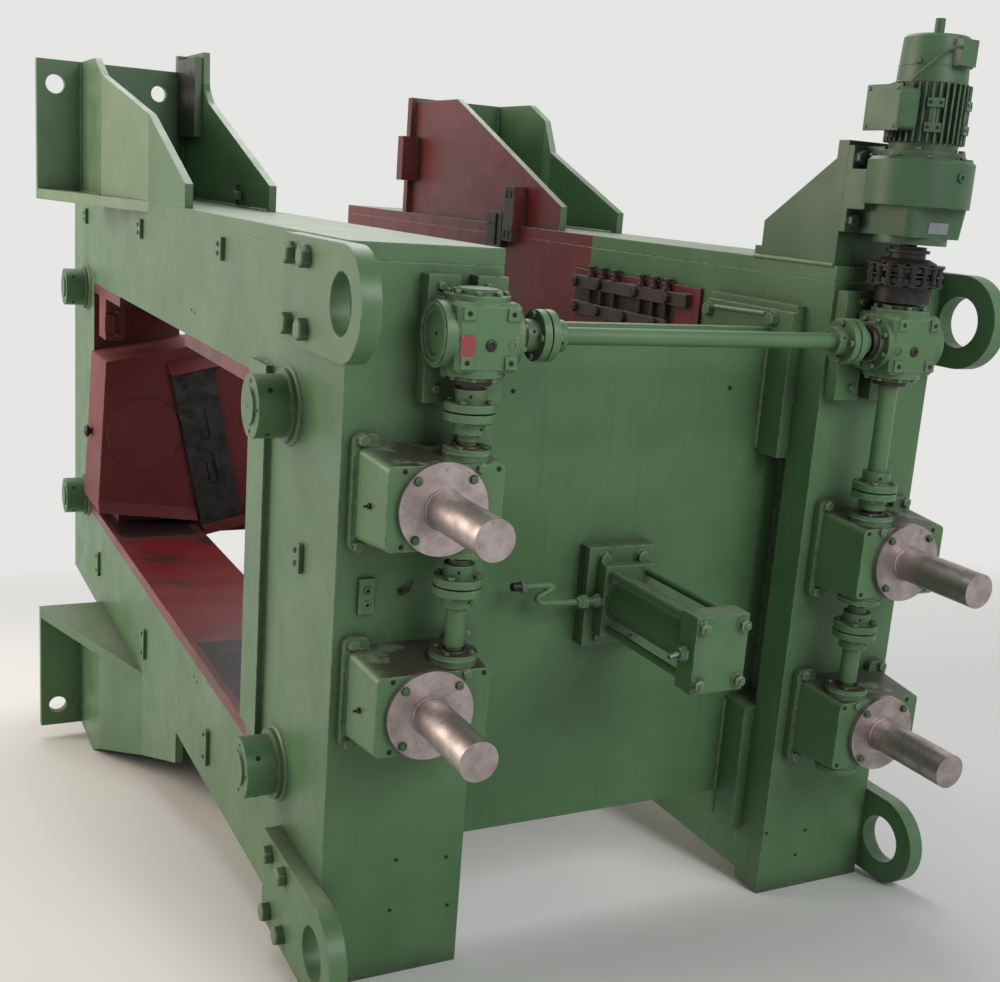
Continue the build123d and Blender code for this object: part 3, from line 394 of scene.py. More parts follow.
def enamel(
    name, tones, grime_and_shade, edge_wear_and_highlight, regions=(), flush=(), dust=0.55, settled="#8e8a80", oil=0.0, gloss=(0.33, 0.52)
):
    """Old enamel: tone patches, dirt and painted shade in corners, rubbed and chipped edges with a painted
    highlight, dust on level faces.
    """
    material = new_material(name)
    tree = material.node_tree
    place = machine_space(tree)
    patch = partial(patches, tree, place)
    tone = patch(FADING, 0.35, 0.68)
    colour = lay_over(tree, tones[0], [(tones[1], 1.0, tone)])
    flat = add_node(tree, "NewGeometry", output="Normal")
    rounded = add_node(tree, "Bevel", {"Radius": EDGE_REACH}, samples=2)
    # An edge is where the rounded surface turns away from the face, and a corner where little sky is seen
    same = add_node(tree, "VectorMath", {0: rounded, 1: flat}, "Value", operation="DOT_PRODUCT")
    edge = add_node(tree, "MapRange", {"Value": same, "From Min": 0.985, "From Max": 0.90})
    for low, high in flush:
        # Welded flush and ground, so the edge there is neither worn pale nor given a painted highlight
        joint = region(tree, place, low, high)
        edge = add_node(tree, "Math", {0: edge, 1: joint}, operation="SUBTRACT", use_clamp=True)
    height = add_node(tree, "SeparateXYZ", {0: flat}, "Z")
    upward = add_node(tree, "MapRange", {"Value": height, "From Min": 0.8, "From Max": 0.97})
    open_sky = add_node(tree, "AmbientOcclusion", {"Distance": CORNER_SHADE_REACH}, "AO", samples=3)
    corner = add_node(tree, "MapRange", {"Value": open_sky, "From Min": 0.80, "From Max": 0.42})
    coats = [
        (grime_and_shade, 0.14, patch(GRIME, 0.52, 0.78, detail=6.0)),
        (grime_and_shade, 0.26, patch(RUNS, 0.56, 0.80, stretch=UPRIGHT)),
        (linear(settled), dust, upward, patch(DUST, 0.22, 0.74, detail=8.0, rough=0.8)),
    ]
    blotch = patch(BLOTCH, 0.50, 0.66, detail=6.0)
    for low, high, other in regions:
        painted = lay_over(tree, other[0], [(other[1], 1.0, blotch)])
        coats.append((painted, 1.0, region(tree, place, low, high)))
    coats += [
        # Painted shade: the dirt colour laid thick where little ambient light reaches, in corners and
        # crevices, standing also for dirt lying there
        (grime_and_shade, 0.85, corner, patch(CORNER_SHADE, 0.22, 0.50)),
        # Edges turned pale: worn paint, and a painted highlight along every edge
        (edge_wear_and_highlight, 0.75, edge, patch(WEAR_AND_HIGHLIGHT, 0.38, 0.54, detail=5.0)),
        (linear("#3a3230"), 0.9, edge, patch(CHIPS, 0.57, 0.62, detail=5.0, rough=0.7)),
        (linear("#3a3531"), 0.7, patch(SPECKS, 0.735, 0.75, detail=3.0, rough=0.8)),
        (edge_wear_and_highlight, 0.35, patch(SCRATCHES, 0.72, 0.76, detail=3.0, stretch=UPRIGHT)),
    ]
    if oil:
        # Oil that has crept from the worm shafts' seals and holds dust, on the top faces round each shaft
        across = add_node(tree, "VectorMath", {0: place}, operation="ABSOLUTE")
        across = add_node(tree, "VectorMath", {0: across, 1: OIL_AT}, operation="SUBTRACT")
        across = add_node(tree, "VectorMath", {0: across, 1: (1, 1, 0)}, operation="MULTIPLY")
        away = add_node(tree, "VectorMath", {0: across}, "Value", operation="LENGTH")
        fading = {"Value": away, "From Min": OIL_REACH, "From Max": OIL_THICK}
        near = add_node(tree, "MapRange", fading)
        creep = patch(OIL, 0.36, 0.46, detail=6.0)
        coats.append((linear("#352c2a"), oil, near, upward, creep))
    colour = lay_over(tree, colour, coats)
    sheen = patch(SHEEN, 0.2, 0.85, detail=5.0)
    rough = add_node(tree, "MapRange", {"Value": sheen, "To Min": gloss[0], "To Max": gloss[1]})
    peel = add_node(tree, "TexNoise", {"Vector": place, "Scale": 1000 / PEEL, "Detail": 2.0})
    bumps = {"Height": peel, "Strength": 0.12, "Distance": 0.0006, "Normal": rounded}
    waves = add_node(tree, "Bump", bumps)
    paint = {"Base Color": colour, "Roughness": rough, "Normal": waves, "Specular IOR Level": 0.4}
    add_node(tree, "OutputMaterial", {0: add_node(tree, "BsdfPrincipled", paint)})
    return material


# How large the stains, spots and grain of the bare finishes are, in millimetres
STAINS, SPOTS, GRAIN = 45, 16, 3


def steel(name, base, shade, gloss, metallic):
    """A finish with light stains and a fine grain: steel, or with no metal in it, lacquer or rubber."""
    material = new_material(name)
    tree = material.node_tree
    place = machine_space(tree)
    tone = patches(tree, place, STAINS, 0.3, 0.75, detail=6.0)
    spots = patches(tree, place, SPOTS, 0.60, 0.72)
    colour = lay_over(tree, base, [(shade, 1.0, tone), (linear("#4a3c36"), 0.4, spots)])
    rough = add_node(tree, "MapRange", {"Value": tone, "To Min": gloss[0], "To Max": gloss[1]})
    fine = add_node(tree, "TexNoise", {"Vector": place, "Scale": 1000 / GRAIN, "Detail": 3.0})
    grain = add_node(tree, "Bump", {"Height": fine, "Strength": 0.15, "Distance": 0.0004})
    metal = {"Base Color": colour, "Roughness": rough, "Metallic": metallic, "Normal": grain}
    add_node(tree, "OutputMaterial", {0: add_node(tree, "BsdfPrincipled", metal)})
    return material


MATERIALS = {}
SLOTS = {
    **dict.fromkeys(("green", "motor_green"), "green_paint"),
    **dict.fromkeys(("red", "red_plate"), "red_paint"),
    **dict.fromkeys(("turned_steel", "bare_plate"), "bare_steel"),
    **dict.fromkeys(("dark_steel", "black_steel", "worn_steel", "shadow"), "dark_steel"),
}
NODE_FINISH = {
    "right_upper_rear_bracket": "green_red_gusset",
    "bracket_guides": "guides",
    "window_liners": "liners",
    "wear_plates": "worn_steel",
    "clamp_bars": "clamp_red",
    "chain_coupling": "black_steel",
    "jack_guard_tubes": "turned_steel",
    "jack_housings": "oily_green",
    "side_bosses": "boss_green",
    **dict.fromkeys(("beam_guides", "rear_cross_beam", "wear_plate_seats"), "red"),
    **dict.fromkeys(("gear_unit", "motor", "motor_bracket"), "motor_green"),
    **dict.fromkeys(("right_top_beam", "right_top_plate", "left_lower_beam"), "green_red_inside"),
    **dict.fromkeys(("right_lower_beam", "left_rear_column", "right_rear_column"), "green_red_inside"),
}


def make_materials(size):
    green = ((tuple(size.green), tuple(size.green_pale)), tuple(size.grime_and_shade), tuple(size.edge_wear_and_highlight))
    red = (tuple(size.red), tuple(size.red_pale))
    bright_red = (linear("#641a1f"), linear("#4a1c20"))
    # Near-black oily steel; between the clamp bars it is painted shade
    oil_and_shade = (linear("#1f1a1b"), linear("#332a2a"))
    # Alkyd machine enamel, brushed on: a satin coat with faint orange peel
    welded = tuple(((-870, y - 12, -60), (870, y + 12, 1850)) for y in (675, 3178))
    MATERIALS["green"] = enamel("brushed green machine enamel", *green, flush=welded)
    # The same green with dark oil on the jacks' tops, and on the bosses dark dirt on their upper sides
    MATERIALS["oily_green"] = enamel("oily green machine enamel", *green, oil=0.95)
    MATERIALS["boss_green"] = enamel("scuffed green enamel", *green, dust=0.8, settled="#4b4446")
    # The motor's enamel, darker and bluer: its own paint, with painted shade for the dimmer light on the
    # drive; edges worn thin grey with a painted highlight
    motor = (linear("#315035"), linear("#3f5f40"))
    MATERIALS["motor_green"] = enamel("dark green motor enamel", motor, linear("#2f312c"), linear("#7c8a78"))
    # Red primer left bare inside the windows and on the right frame's inner face
    inner = (
        ((300, 1251, -200), (481.5, 9000, 2400), red),
        ((-1000, 600, 373.5), (1000, 3300, 420), (linear("#6c1a1f"), linear("#33201f"))),
        ((-1000, 3100, 420), (1000, 3179.5, 1411), red),
    )
    MATERIALS["green_red_inside"] = enamel("green enamel, red inside", *green, inner, welded)
    gusset = (((300, 1537, 1700), (505.5, 3000, 2400), red),)
    name = "green enamel, red on the inner gusset"
    MATERIALS["green_red_gusset"] = enamel(name, *green, regions=gusset)
    # Oxide red primer, sprayed: duller than the green, with little dust on it
    # The dark red-brown also paints the shade in the red's corners; the pale pink wears its edges and paints
    # a highlight along them
    soot_and_shade, red_wear_and_highlight = linear("#2c191a"), linear("#94706d")
    MATERIALS["red"] = enamel("dull oxide red primer", red, soot_and_shade, red_wear_and_highlight, dust=0.12, gloss=(0.5, 0.68))
    # Liners in brighter red, rubbed down to oily dark steel on top
    worn = tuple(
        ((x - 155, near, 409), (x + 155, far, 420), oil_and_shade)
        for x in (-672, 672)
        for near, far in ((700, 1345), (2640, 3150))
    )
    name = "red liners, rubbed to steel"
    MATERIALS["liners"] = enamel(name, bright_red, soot_and_shade, red_wear_and_highlight, regions=worn, dust=0.12)
    # Guide blocks: green at the left, red at the right, with oily dark sliding faces
    bare = (
        ((0, 0, 0), (1000, 4000, 3000), red),
        ((-561, 2600, 2000), (-559, 2945, 2400), oil_and_shade),
        ((440, 1800, 1700), (451.5, 2050, 1950), oil_and_shade),
    )
    MATERIALS["guides"] = enamel("guide block enamel", *green, regions=bare, dust=0.2)
    # Clamp bars in oily grey-brown steel on their red backing, and painted shade, near black, on the backing
    # in the gap between the bars
    bars = (
        ((440, 560, 1480), (469.5, 1350, 1720), (linear("#3f3433"), linear("#554845"))),
        # Painted shade: the backing between the upper and lower clamp bars, near black
        ((469.5, 700, 1574), (472, 1320, 1622), oil_and_shade),
    )
    MATERIALS["clamp_red"] = enamel("oiled clamp bar steel", red, soot_and_shade, red_wear_and_highlight, regions=bars, dust=0.15)
    for paint, name, base, shade, gloss, metallic in (
        # Turned steel: bright, with a fine grain and a few stains
        ("turned_steel", "turned bare steel", tuple(size.steel), linear("#8f8482"), (0.38, 0.54), 1.0),
        # Oil-blackened steel: dark brown, half matt
        ("dark_steel", "oil-blackened steel", tuple(size.dark_steel), linear("#41372f"), (0.42, 0.62), 0.55),
        # Greased chain: black and wet-looking in spots
        ("black_steel", "greased chain steel", linear("#191716"), linear("#262221"), (0.35, 0.6), 0.4),
        # Hardened wear plate: grey black with rubbed patches
        ("worn_steel", "hardened wear plate", linear("#252424"), linear("#3d3a38"), (0.38, 0.55), 0.5),
        # The inside of a hole, where no light reaches
        ("shadow", "unlit bore", linear("#0b0b0a"), linear("#100f0e"), (0.8, 0.9), 0.0),
        # Bare aluminium plate with no print: pale grey, half bright
        ("bare_plate", "brushed aluminium plate", linear("#8a8d90"), linear("#757b80"), (0.35, 0.5), 1.0),
        # Thin plate in faded red lacquer with no print
        ("red_plate", "red lacquered plate", tuple(size.plate_red), linear("#7a3b3d"), (0.4, 0.6), 0.0),
        # Rubber cable sheath with paint mist on it
        ("cable", "rubber cable sheath", linear("#33402f"), linear("#4b5c4d"), (0.5, 0.65), 0.0),
    ):
        MATERIALS[paint] = steel(name, base, shade, gloss, metallic)


class Paint(Operator):
    """Make the machine's materials and paint the parts carried over from the drawing."""

    bl_idname = "straightener.paint"
    bl_label = "Paint the frame"

    def execute(self, context):
        make_materials(context.scene.straightener)
        for name, node in NODES.items():
            node.data.materials.clear()
            node.data.materials.append(MATERIALS[NODE_FINISH.get(name, "green")])
        return {"FINISHED"}


class Fitting(Operator):
    """A group of small pieces, whose kit has the operator's own name."""

    body = "machine"
    edge = 0.8

    def execute(self, context):
        kit = Kit(type(self).bl_idname.split(".")[1], self.body)
        self.shape(kit, context.scene.straightener)
        return kit.hand_over(self.edge)


class LugBolts(Fitting):
    """Put four hexagon bolts through each lifting lug."""

    bl_idname = "straightener.lug_bolts"
    bl_label = "Lifting lug bolts"
    edge = 0.9

    def shape(self, kit, size):
        thread = mm(size.lug_thread)
        for side, level, y, rise in product(SIDES, LUG_LEVELS, (148, 263), (-81, 81)):
            at = (side * LUG_FACE, y, level + rise)
            bolt(kit["green"], at, (side, 0, 0), thread, washer=False, height=0.75)


class BossDetails(Fitting):
    """Drill the side bosses: four tapped holes in the face, four round the drum, and the weld at the foot."""

    bl_idname = "straightener.boss_details"
    bl_label = "Side boss details"
    edge = 0.0

    def shape(self, kit, size):
        weld = mm(size.weld_size)
        for side, (y, z) in product(SIDES, BOSSES):
            out = (side, 0, 0)
            for at in around((side * BOSS_FACE, y, z), out, 62, 4):
                hole(kit, at, out, 5)
            middle = Vector((side * BOSS_MIDDLE, y, z))
            for at in around(middle, out, 78.6, 4, start=38):
                hole(kit, at, at - middle, 6.5)
            hole(kit, (side * BOSS_COVER, y, z), out, 2.5, depth=0.5, sides=12)
            profile = [(91, 0), (92 + weld, 0), (91 + weld * 0.8, weld * 0.6), (91, weld)]
            ring(kit["green"], (side * SIDE_FACE, y, z), out, profile)


class SideTabs(Fitting):
    """Fix the small two-screw tabs to the side faces, and the tapped holes beside them."""

    bl_idname = "straightener.side_tabs"
    bl_label = "Side tabs"

    def shape(self, kit, size):
        smallest = mm(size.tab_height) / 2
        for side in SIDES:
            for y, z, share in SIDE_TABS:
                half = smallest * share
                outer = side * (SIDE_FACE + 12)
                block(kit["green"], (side * SIDE_FACE, y - 11, z - half), (outer, y + 11, z + half))
                for rise in (20 - half, half - 20):
                    foot = (side * SIDE_FACE, y + 19, z + rise)
                    top = (side * (SIDE_FACE + 6), y + 19, z + rise)
                    rod(kit["green"], foot, top, 12)
                    socket_screw(kit["motor_green"], top, (side, 0, 0), 10)
            for y, z in ((1405, 1495), (1365, 1490), (1280, 324), (1238, 320)):
                hole(kit, (side * SIDE_FACE, y, z), (side, 0, 0), 5)


class JackFittings(Fitting):
    """Fit the worm screw jacks: foot bolts, face holes, guard screws, grease nipple, plug and cover bolts."""

    bl_idname = "straightener.jack_fittings"
    bl_label = "Screw jack fittings"
    edge = 0.6

    def shape(self, kit, size):
        for side, z in JACKS:
            x = side * JACK_X
            for dx, dz in product((-139, 139), (-121, 121)):
                bolt(kit["green"], (x + dx, -25, z + dz), FRONT, 16)
            for dx, dz in product((side * 100, -side * 122), (83, -83)):
                hole(kit, (x + dx, JACK_FRONT, z + dz), FRONT, 6)
            guard = (side * GUARD_X, GUARD_FRONT, z)
            for at in around(guard, FRONT, 92, 4, start=45):
                bolt(kit["motor_green"], at, FRONT, 11, height=0.7)
            ring(kit["turned_steel"], guard, FRONT, [(45, 0), (48, 0), (48, 3), (46, 6), (45, 6)])
            for level in (-1, 1):
                away = (0, 0, level)
                profile = [(46, 0), (57, 0), (57, 5), (55, 7), (46, 7)]
                ring(kit["green"], (side * SHAFT_X, SHAFT_Y, z + level * 108), away, profile)
                seal = (side * SHAFT_X, SHAFT_Y, z + level * JACK_SEAL)
                for at in around(seal, away, 44, 4, start=45):
                    bolt(kit["green"], at, away, 7, washer=False)
                ring(kit["dark_steel"], seal, away, [(24, 0), (34, 0), (32, 5), (24, 5)])
            bolt(kit["green"], (x - side * 79, JACK_FRONT + 2, z + 86), FRONT, 13)
            nipple = Vector((x + side * 144, -100, z - 10))
            hexagon(kit["dark_steel"], nipple, (side, 0, 0), 13, 6)
            rod(kit["dark_steel"], nipple, nipple + Vector((side * 16, 0, 0)), 4, tip=3, sides=14)


class ColumnFittings(Fitting):
    """Put the two-hole plate, the broken pipe elbow and the tapped holes on the columns and panel."""

    bl_idname = "straightener.column_fittings"
    bl_label = "Column and panel fittings"

    def shape(self, kit, size):
        block(kit["green"], (-795, -12, 960), (-757, 0, 1045))
        for z in (1017, 983):
            profile = [(0, 0), (10, 0), (10, 4), (8, 5), (5, 5), (5, 1), (0, 1)]
            turned(kit["green"], (-775, -12, z), FRONT, profile, steps=20)
            hole(kit, (-775, -13.2, z), FRONT, 5)
        rod(kit["dark_steel"], (-690, 0, 1008), (-690, -16, 1008), 5, sides=16)
        rod(kit["dark_steel"], (-697, -15, 1003), (-672, -16, 1015), 4.5, sides=16)
        rod(kit["dark_steel"], (-674, -16, 1012), (-666, -16, 1036), 2.5, sides=14)
        for x, z in ((-659, 313), (-523, 297), (-511, 161), (-668, 178), (492, 190), (634, 176), (609, 101)):
            hole(kit, (x, 0, z), FRONT, 5)
        for x, z in ((335, 1448), (-330, 1441), (-374, 1470)):
            hole(kit, (x, PANEL_FACE, z), FRONT, 6)
        for side in SIDES:
            hole(kit, (side * 894, 2791, 0), UP, 9)
        for y, z in ((486, 1634), (190, 1640)):
            bolt(kit["green"], (445, y, z), (-1, 0, 0), 22)


class GearboxFittings(Fitting):
    """Fit the bevel gearboxes: rail bolts, cover bolts, plugs, seals and the bare red plate."""

    bl_idname = "straightener.gearbox_fittings"
    bl_label = "Bevel gearbox fittings"
    edge = 0.6

    def shape(self, kit, size):
        small, count = mm(size.cover_thread), size.cover_bolts
        for side in SIDES:
            centre = Vector((side * SHAFT_X, SHAFT_Y, DRIVE_Z))
            for x, z in product((539, 652), (1715, 1489)):
                bolt(kit["green"], (side * x, -45, z), FRONT, mm(size.rail_thread))
            inward = Vector((-side, 0, 0))
            for direction in (UP, DOWN, inward):
                for at in around(centre + direction * FLANGE_OUT, direction, 62, count, start=22.5):
                    bolt(kit["green"], at, direction, small, washer=False, height=1.1)
            profile = [(60, 0), (68, 0), (68, 3), (62, 4), (60, 3)]
            ring(kit["green"], centre - inward * SEAL_OUT, (side, 0, 0), profile)
            hole(kit, centre - inward * 91, (side, 0, 0), 5)
            for dx, dz in product((-52, 52), (-52, 52)):
                hole(kit, centre + Vector((dx, -80, dz)), FRONT, 5.5)
            profile = [(0, 0), (13, 0), (13, 2), (10, 4), (6, 4), (6, 1), (0, 1)]
            turned(kit["dark_steel"], centre + Vector((-side * 4, -75, -15)), FRONT, profile, steps=24)
            profile = [(7, 0), (10, 0), (10, 2), (7, 2)]
            ring(kit["green"], centre + Vector((-side * 56, -75, -14)), FRONT, profile, steps=24)
            for direction in (DOWN, inward):
                profile = [(26, 0), (45, 0), (43, 12), (26, 12)]
                ring(kit["dark_steel"], centre + direction * SEAL_OUT, direction, profile)
        profile = [(0, 0), (46, 0), (44, 3), (26, 5), (0, 6)]
        turned(kit["green"], (-SHAFT_X, SHAFT_Y, DRIVE_Z + SEAL_OUT), UP, profile)
        block(kit["red_plate"], (-668, -196.5, 1581), (-633, -195, 1626))
        for x, z in product((-664, -637), (1585, 1622)):
            rod(kit["bare_plate"], (x, -196.5, z), (x, -197.5, z), 1.8, sides=10)


class ShaftBolts(Operator):
    """Bolt up the flange couplings, with the set screws in their hubs; they turn with their shafts."""

    bl_idname = "straightener.shaft_bolts"
    bl_label = "Shaft coupling bolts"

    def execute(self, context):
        thread = mm(context.scene.straightener.coupling_thread)

        def coupling(kit, centre, axis, start):
            """Four bolts in each half of a coupling, and two set screws in each hub."""
            for direction in (axis, -axis):
                for at in around(centre + direction * 20, direction, 46, 4, start=start):
                    bolt(kit["green"], at, direction, thread, washer=False)
                hub = centre + direction * 36
                for at in around(hub, direction, 35.6, 2, start=start + 20):
                    hole(kit, at, at - hub, 4)

        kit = Kit("cross_coupling_bolts", "cross_drive")
        for side in SIDES:
            coupling(kit, Vector((side * 437, SHAFT_Y, DRIVE_Z)), Vector((1, 0, 0)), 0)
        kit.hand_over(edge=0.5)
        for body, side, z in DOWN_COUPLINGS:
            kit = Kit(f"{body}_coupling_bolts", body)
            coupling(kit, Vector((side * SHAFT_X, SHAFT_Y, z)), UP, 45)
            kit.hand_over(edge=0.5)
        return {"FINISHED"}


class ChainHub(Fitting):
    """Add the chain coupling's cover plate, hub steps and set screws; they turn with it."""

    bl_idname = "straightener.chain_hub"
    bl_label = "Chain coupling hub"
    body = "motor_drive"
    edge = 0.6

    def shape(self, kit, size):
        centre = Vector((SHAFT_X, SHAFT_Y, 1822))
        ring(kit["dark_steel"], centre, UP, [(45, 0), (76, 0), (74, 3), (56, 12), (45, 12)])
        ring(kit["dark_steel"], centre + UP * 26, UP, [(45, 0), (54, 0), (54, 8), (45, 8)])
        for level in (1738, 1752):
            hub = Vector((SHAFT_X, SHAFT_Y, level))
            for at in around(hub, UP, 69.6, 3, start=level):
                hole(kit, at, at - hub, 5)


class MotorFittings(Fitting):
    """Fit the geared motor: foot bolts, plugs, the bare plate, fin pads, cover bands and box screws."""

    bl_idname = "straightener.motor_fittings"
    bl_label = "Geared motor fittings"

    def shape(self, kit, size):
        paint = kit["motor_green"]
        axis = Vector((SHAFT_X, SHAFT_Y, 0))
        for x, z in product((503, 697), (1917, 2074)):
            bolt(paint, (x, -7, z), FRONT, 20)
        plug = [(0, 0), (12, 0), (12, 5), (10, 6), (6, 6), (6, 2), (0, 2)]
        drum_side, plug_level = bearing(-85.6), UP * 2036
        turned(paint, axis + drum_side * 131.5 + plug_level, drum_side, plug, steps=24)
        hole(kit, axis + drum_side * 134 + plug_level, drum_side, 6)
        turned(paint, (550, -70, 1902), FRONT, plug, steps=24)
        hole(kit, (550, -72.5, 1902), FRONT, 6)
        # The bare plate leans with the taper of the gear unit: 6 mm over 74
        corners = ((568, 1899), (632, 1899), (632, 1927), (568, 1927))
        outline = [(x, SHAFT_Y - 89 - (z - 1888) * 6 / 74, z) for x, z in corners]
        prism(kit["bare_plate"], outline, (0, -1.5, 0))
        for at in around(axis + UP * 2078, UP, 118, 8, start=12):
            bolt(paint, at, UP, 10, washer=False)
        for at in around(axis + UP * 2095, UP, 94, 4, start=40):
            bolt(paint, at, UP, 10)
        for out in (bearing(-125), bearing(-62)):
            for level in (2208, 2150):
                block(paint, (-20, -11, 86), (20, 11, 101), aim(axis + UP * level, out))
                across = UP.cross(out)
                for dx in (-12, 12):
                    hole(kit, axis + out * 101 + UP * level + across * dx, out, 4)
            block(paint, (-5, -22, 86), (5, 22, 97), aim(axis + UP * 2179, out))
        for level, radius, height in ((2256, 87, 5), (2296, 85, 2.5)):
            band = [(radius - 3, 0), (radius, 0), (radius, height), (radius - 3, height)]
            ring(paint, axis + UP * level, UP, band)
        for out in (bearing(-160), bearing(-40), bearing(80)):
            bolt(paint, axis + out * 83 + UP * 2305, out, 9)
        block(paint, (450, -178, 2136), (457, -62, 2244))
        for y, z in product((-168, -72), (2146, 2234)):
            rod(paint, (450, y, z), (447, y, z), 4.5, sides=14)
        rod(kit["dark_steel"], (486, SHAFT_Y, 2140), (486, SHAFT_Y, 2122), 12, sides=6)


class BrakeCable(Operator):
    """Lead the short brake cable from the terminal box up the fan cover to the brake box."""

    bl_idname = "straightener.brake_cable"
    bl_label = "Brake cable"

    def execute(self, context):
        diameter = context.scene.straightener.cable_diameter
        route = (
            (492, -160, 2240), (494, -163, 2256), (503, -172, 2270), (513, -186, 2286),
            (524, -200, 2304), (540, -211, 2324), (560, -218, 2336), (575, -220, 2338), (586, -220, 2338),
        )
        line = bpy.data.curves.new("brake_cable", "CURVE")
        line.dimensions = "3D"
        line.bevel_depth = diameter / 2
        line.bevel_resolution = 4
        line.use_fill_caps = True
        spline = line.splines.new("NURBS")
        spline.points.add(len(route) - 1)
        for point, place in zip(spline.points, route):
            point.co = (STANCE @ Vector(place)).to_4d()
        spline.order_u = 3
        spline.use_endpoint_u = True
        spline.resolution_u = 8
        cable = new_object("brake_cable", line)
        line.materials.append(MATERIALS["cable"])
        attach(cable, "machine")
        start = STANCE @ Vector(route[0])
        return {"FINISHED"}


class CylinderFittings(Fitting):
    """Fit the hydraulic cylinder: tie rod nuts, flange bolts, port fittings and the short bent pipe."""

    bl_idname = "straightener.cylinder_fittings"
    bl_label = "Cylinder fittings"
    edge = 0.6

    def shape(self, kit, size):
        thread, radius = mm(size.tie_nut_thread), mm(size.pipe_radius)
        paint = kit["green"]
        for dx in (-58, 58):
            for dz in (-70, 70):
                bolt(paint, (CYLINDER_X + dx, -310, CYLINDER_Z + dz), FRONT, thread, stud=6)
            for dz in (-109, 107):
                bolt(paint, (CYLINDER_X + dx, 152, CYLINDER_Z + dz), FRONT, 20, height=0.8)
        for y in (-277, 129):
            hexagon(paint, (-65, y, PORT_Z), (-1, 0, 0), 36, 12)
            hexagon(paint, (-77, y, PORT_Z), (-1, 0, 0), 28, 10)
        rod(kit["bare_plate"], (-87, -277, PORT_Z), (-116, -282, PORT_Z - 4), 7, tip=6, sides=14)
        rod(paint, (-87, 129, PORT_Z), (-104, 129, PORT_Z), 11, sides=16)
        hexagon(paint, (-104, 129, PORT_Z), (-1, 0, 0), 34, 18)
        hexagon(paint, (-122, 129, PORT_Z), (-1, 0, 0), 28, 12)
        bends = (
            (-128, 129, PORT_Z), (-236, 129, 900), (-250, 129, 908), (-250, 129, 916),
            (-214, 129, 934), (-208, 129, 941), (-216, 129, 946), (-300, 129, 948),
        )
        for start, end in zip(bends, bends[1:]):
            rod(paint, start, end, radius, sides=14)
            ball = bmesh.ops.create_uvsphere(paint, u_segments=12, v_segments=8, radius=radius)
            bmesh.ops.translate(paint, vec=Vector(end), verts=ball["verts"])
        hexagon(paint, (-290, 129, 948), (-1, 0, 0), 30, 14)
        rod(kit["black_steel"], (-304, 129, 948), (-328, 129, 949), 12, tip=11, sides=20)
        # The joint between the two mounting plates shows as a dark line all round
        block(kit["black_steel"], (-92.6, 175.2, 758.4), (112.6, 177.4, 1031.6))
        for y in (105, -240):
            ring(paint, (CYLINDER_X, y, CYLINDER_Z), FRONT, [(64, 0), (66, 0), (66, 6), (64, 6)])


class ClampScrews(Fitting):
    """Put the face bolts and the T-headed set screws on the clamp bars."""

    bl_idname = "straightener.clamp_screws"
    bl_label = "Clamp bar screws"

    def shape(self, kit, size):
        dark = kit["dark_steel"]
        for z, row in ((1641, (722, 908, 1135, 1290)), (1554, (780, 964, 1130, 1280))):
            for y in row:
                bolt(dark, (452, y, z), (-1, 0, 0), 20, washer=False)
        for y in (739, 812, 887, 1047, 1131, 1205):
            rod(dark, (461, y, 1574), (461, y, 1690), 7, sides=16)
            hexagon(dark, (461, y, 1662), UP, 26, 10)
            hexagon(dark, (461, y, 1688), UP, 24, 11)


class BeamDetails(Fitting):
    """Add the wear plates' screw holes, the guide plates' keys and bolts, and the beam ends' knobs."""

    bl_idname = "straightener.beam_details"
    bl_label = "Cross beam details"

    def shape(self, kit, size):
        for side in SIDES:
            turn = Matrix.Rotation(side * math.radians(WEAR_PLATE_LEAN), 4, "Y")
            centre = Vector((side * 440, 2800, 760.5))
            for dx, dz in product((-58, 58), (-308, 308)):
                hole(kit, centre + turn @ Vector((dx, 0, dz)), FRONT, 13)
            for half in (44, 40):
                low, high = (-14, 2, -112 - half), (14, 13, -112 + half)
                block(kit["worn_steel"], low, high, Matrix.Translation(centre) @ turn)
            block(kit["red"], (side * 858, 2868, 1234), (side * 818, 2900, 1304))
            for z in (1226, 1316):
                bolt(kit["red"], (side * 800, 2900, z), FRONT, 14)
            block(kit["dark_steel"], (side * 478, 2900, 415), (side * 618, 3050, 445))
            rod(kit["black_steel"], (side * 866, 3075, 782), (side * 890, 3075, 782), 14, sides=16)
            profile = [(0, 0), (20, 0), (27, 7), (26, 15), (16, 21), (0, 22)]
            turned(kit["black_steel"], (side * 886, 3075, 782), (side, 0, 0), profile, steps=16)
            block(kit["black_steel"], (side * 868 - 4, 3060, 752), (side * 868 + 4, 3090, 830))


class BracketDetails(Fitting):
    """Put the slots and holes on the bracket guides, and the small fitting on the left gusset."""

    bl_idname = "straightener.bracket_details"
    bl_label = "Bracket details"

    def shape(self, kit, size):
        for y, z in product((1832, 1868), (1765, 1915)):
            for end in (z - 10, z + 10):
                rod(kit["shadow"], (450, y, end), (449.2, y, end), 6)
            block(kit["shadow"], (449.2, y - 6, z - 10), (450, y + 6, z + 10))
        block(kit["worn_steel"], (444, 1940, 1722), (450, 2000, 1838))
        for y in (1955, 1986):
            rod(kit["shadow"], (444, y, 1800), (443.2, y, 1800), 6)
        for z, y in product((2090, 2290), (2700, 2880)):
            rod(kit["shadow"], (-560, y, z), (-560.8, y, z), 7)
        rod(kit["dark_steel"], (-530, 2030, 1842), (-552, 2030, 1842), 9, sides=6)
        rod(kit["dark_steel"], (-545, 2030, 1806), (-545, 2030, 1880), 6, sides=14)
        block(kit["green"], (-560, 2008, 1826), (-536, 2052, 1856))


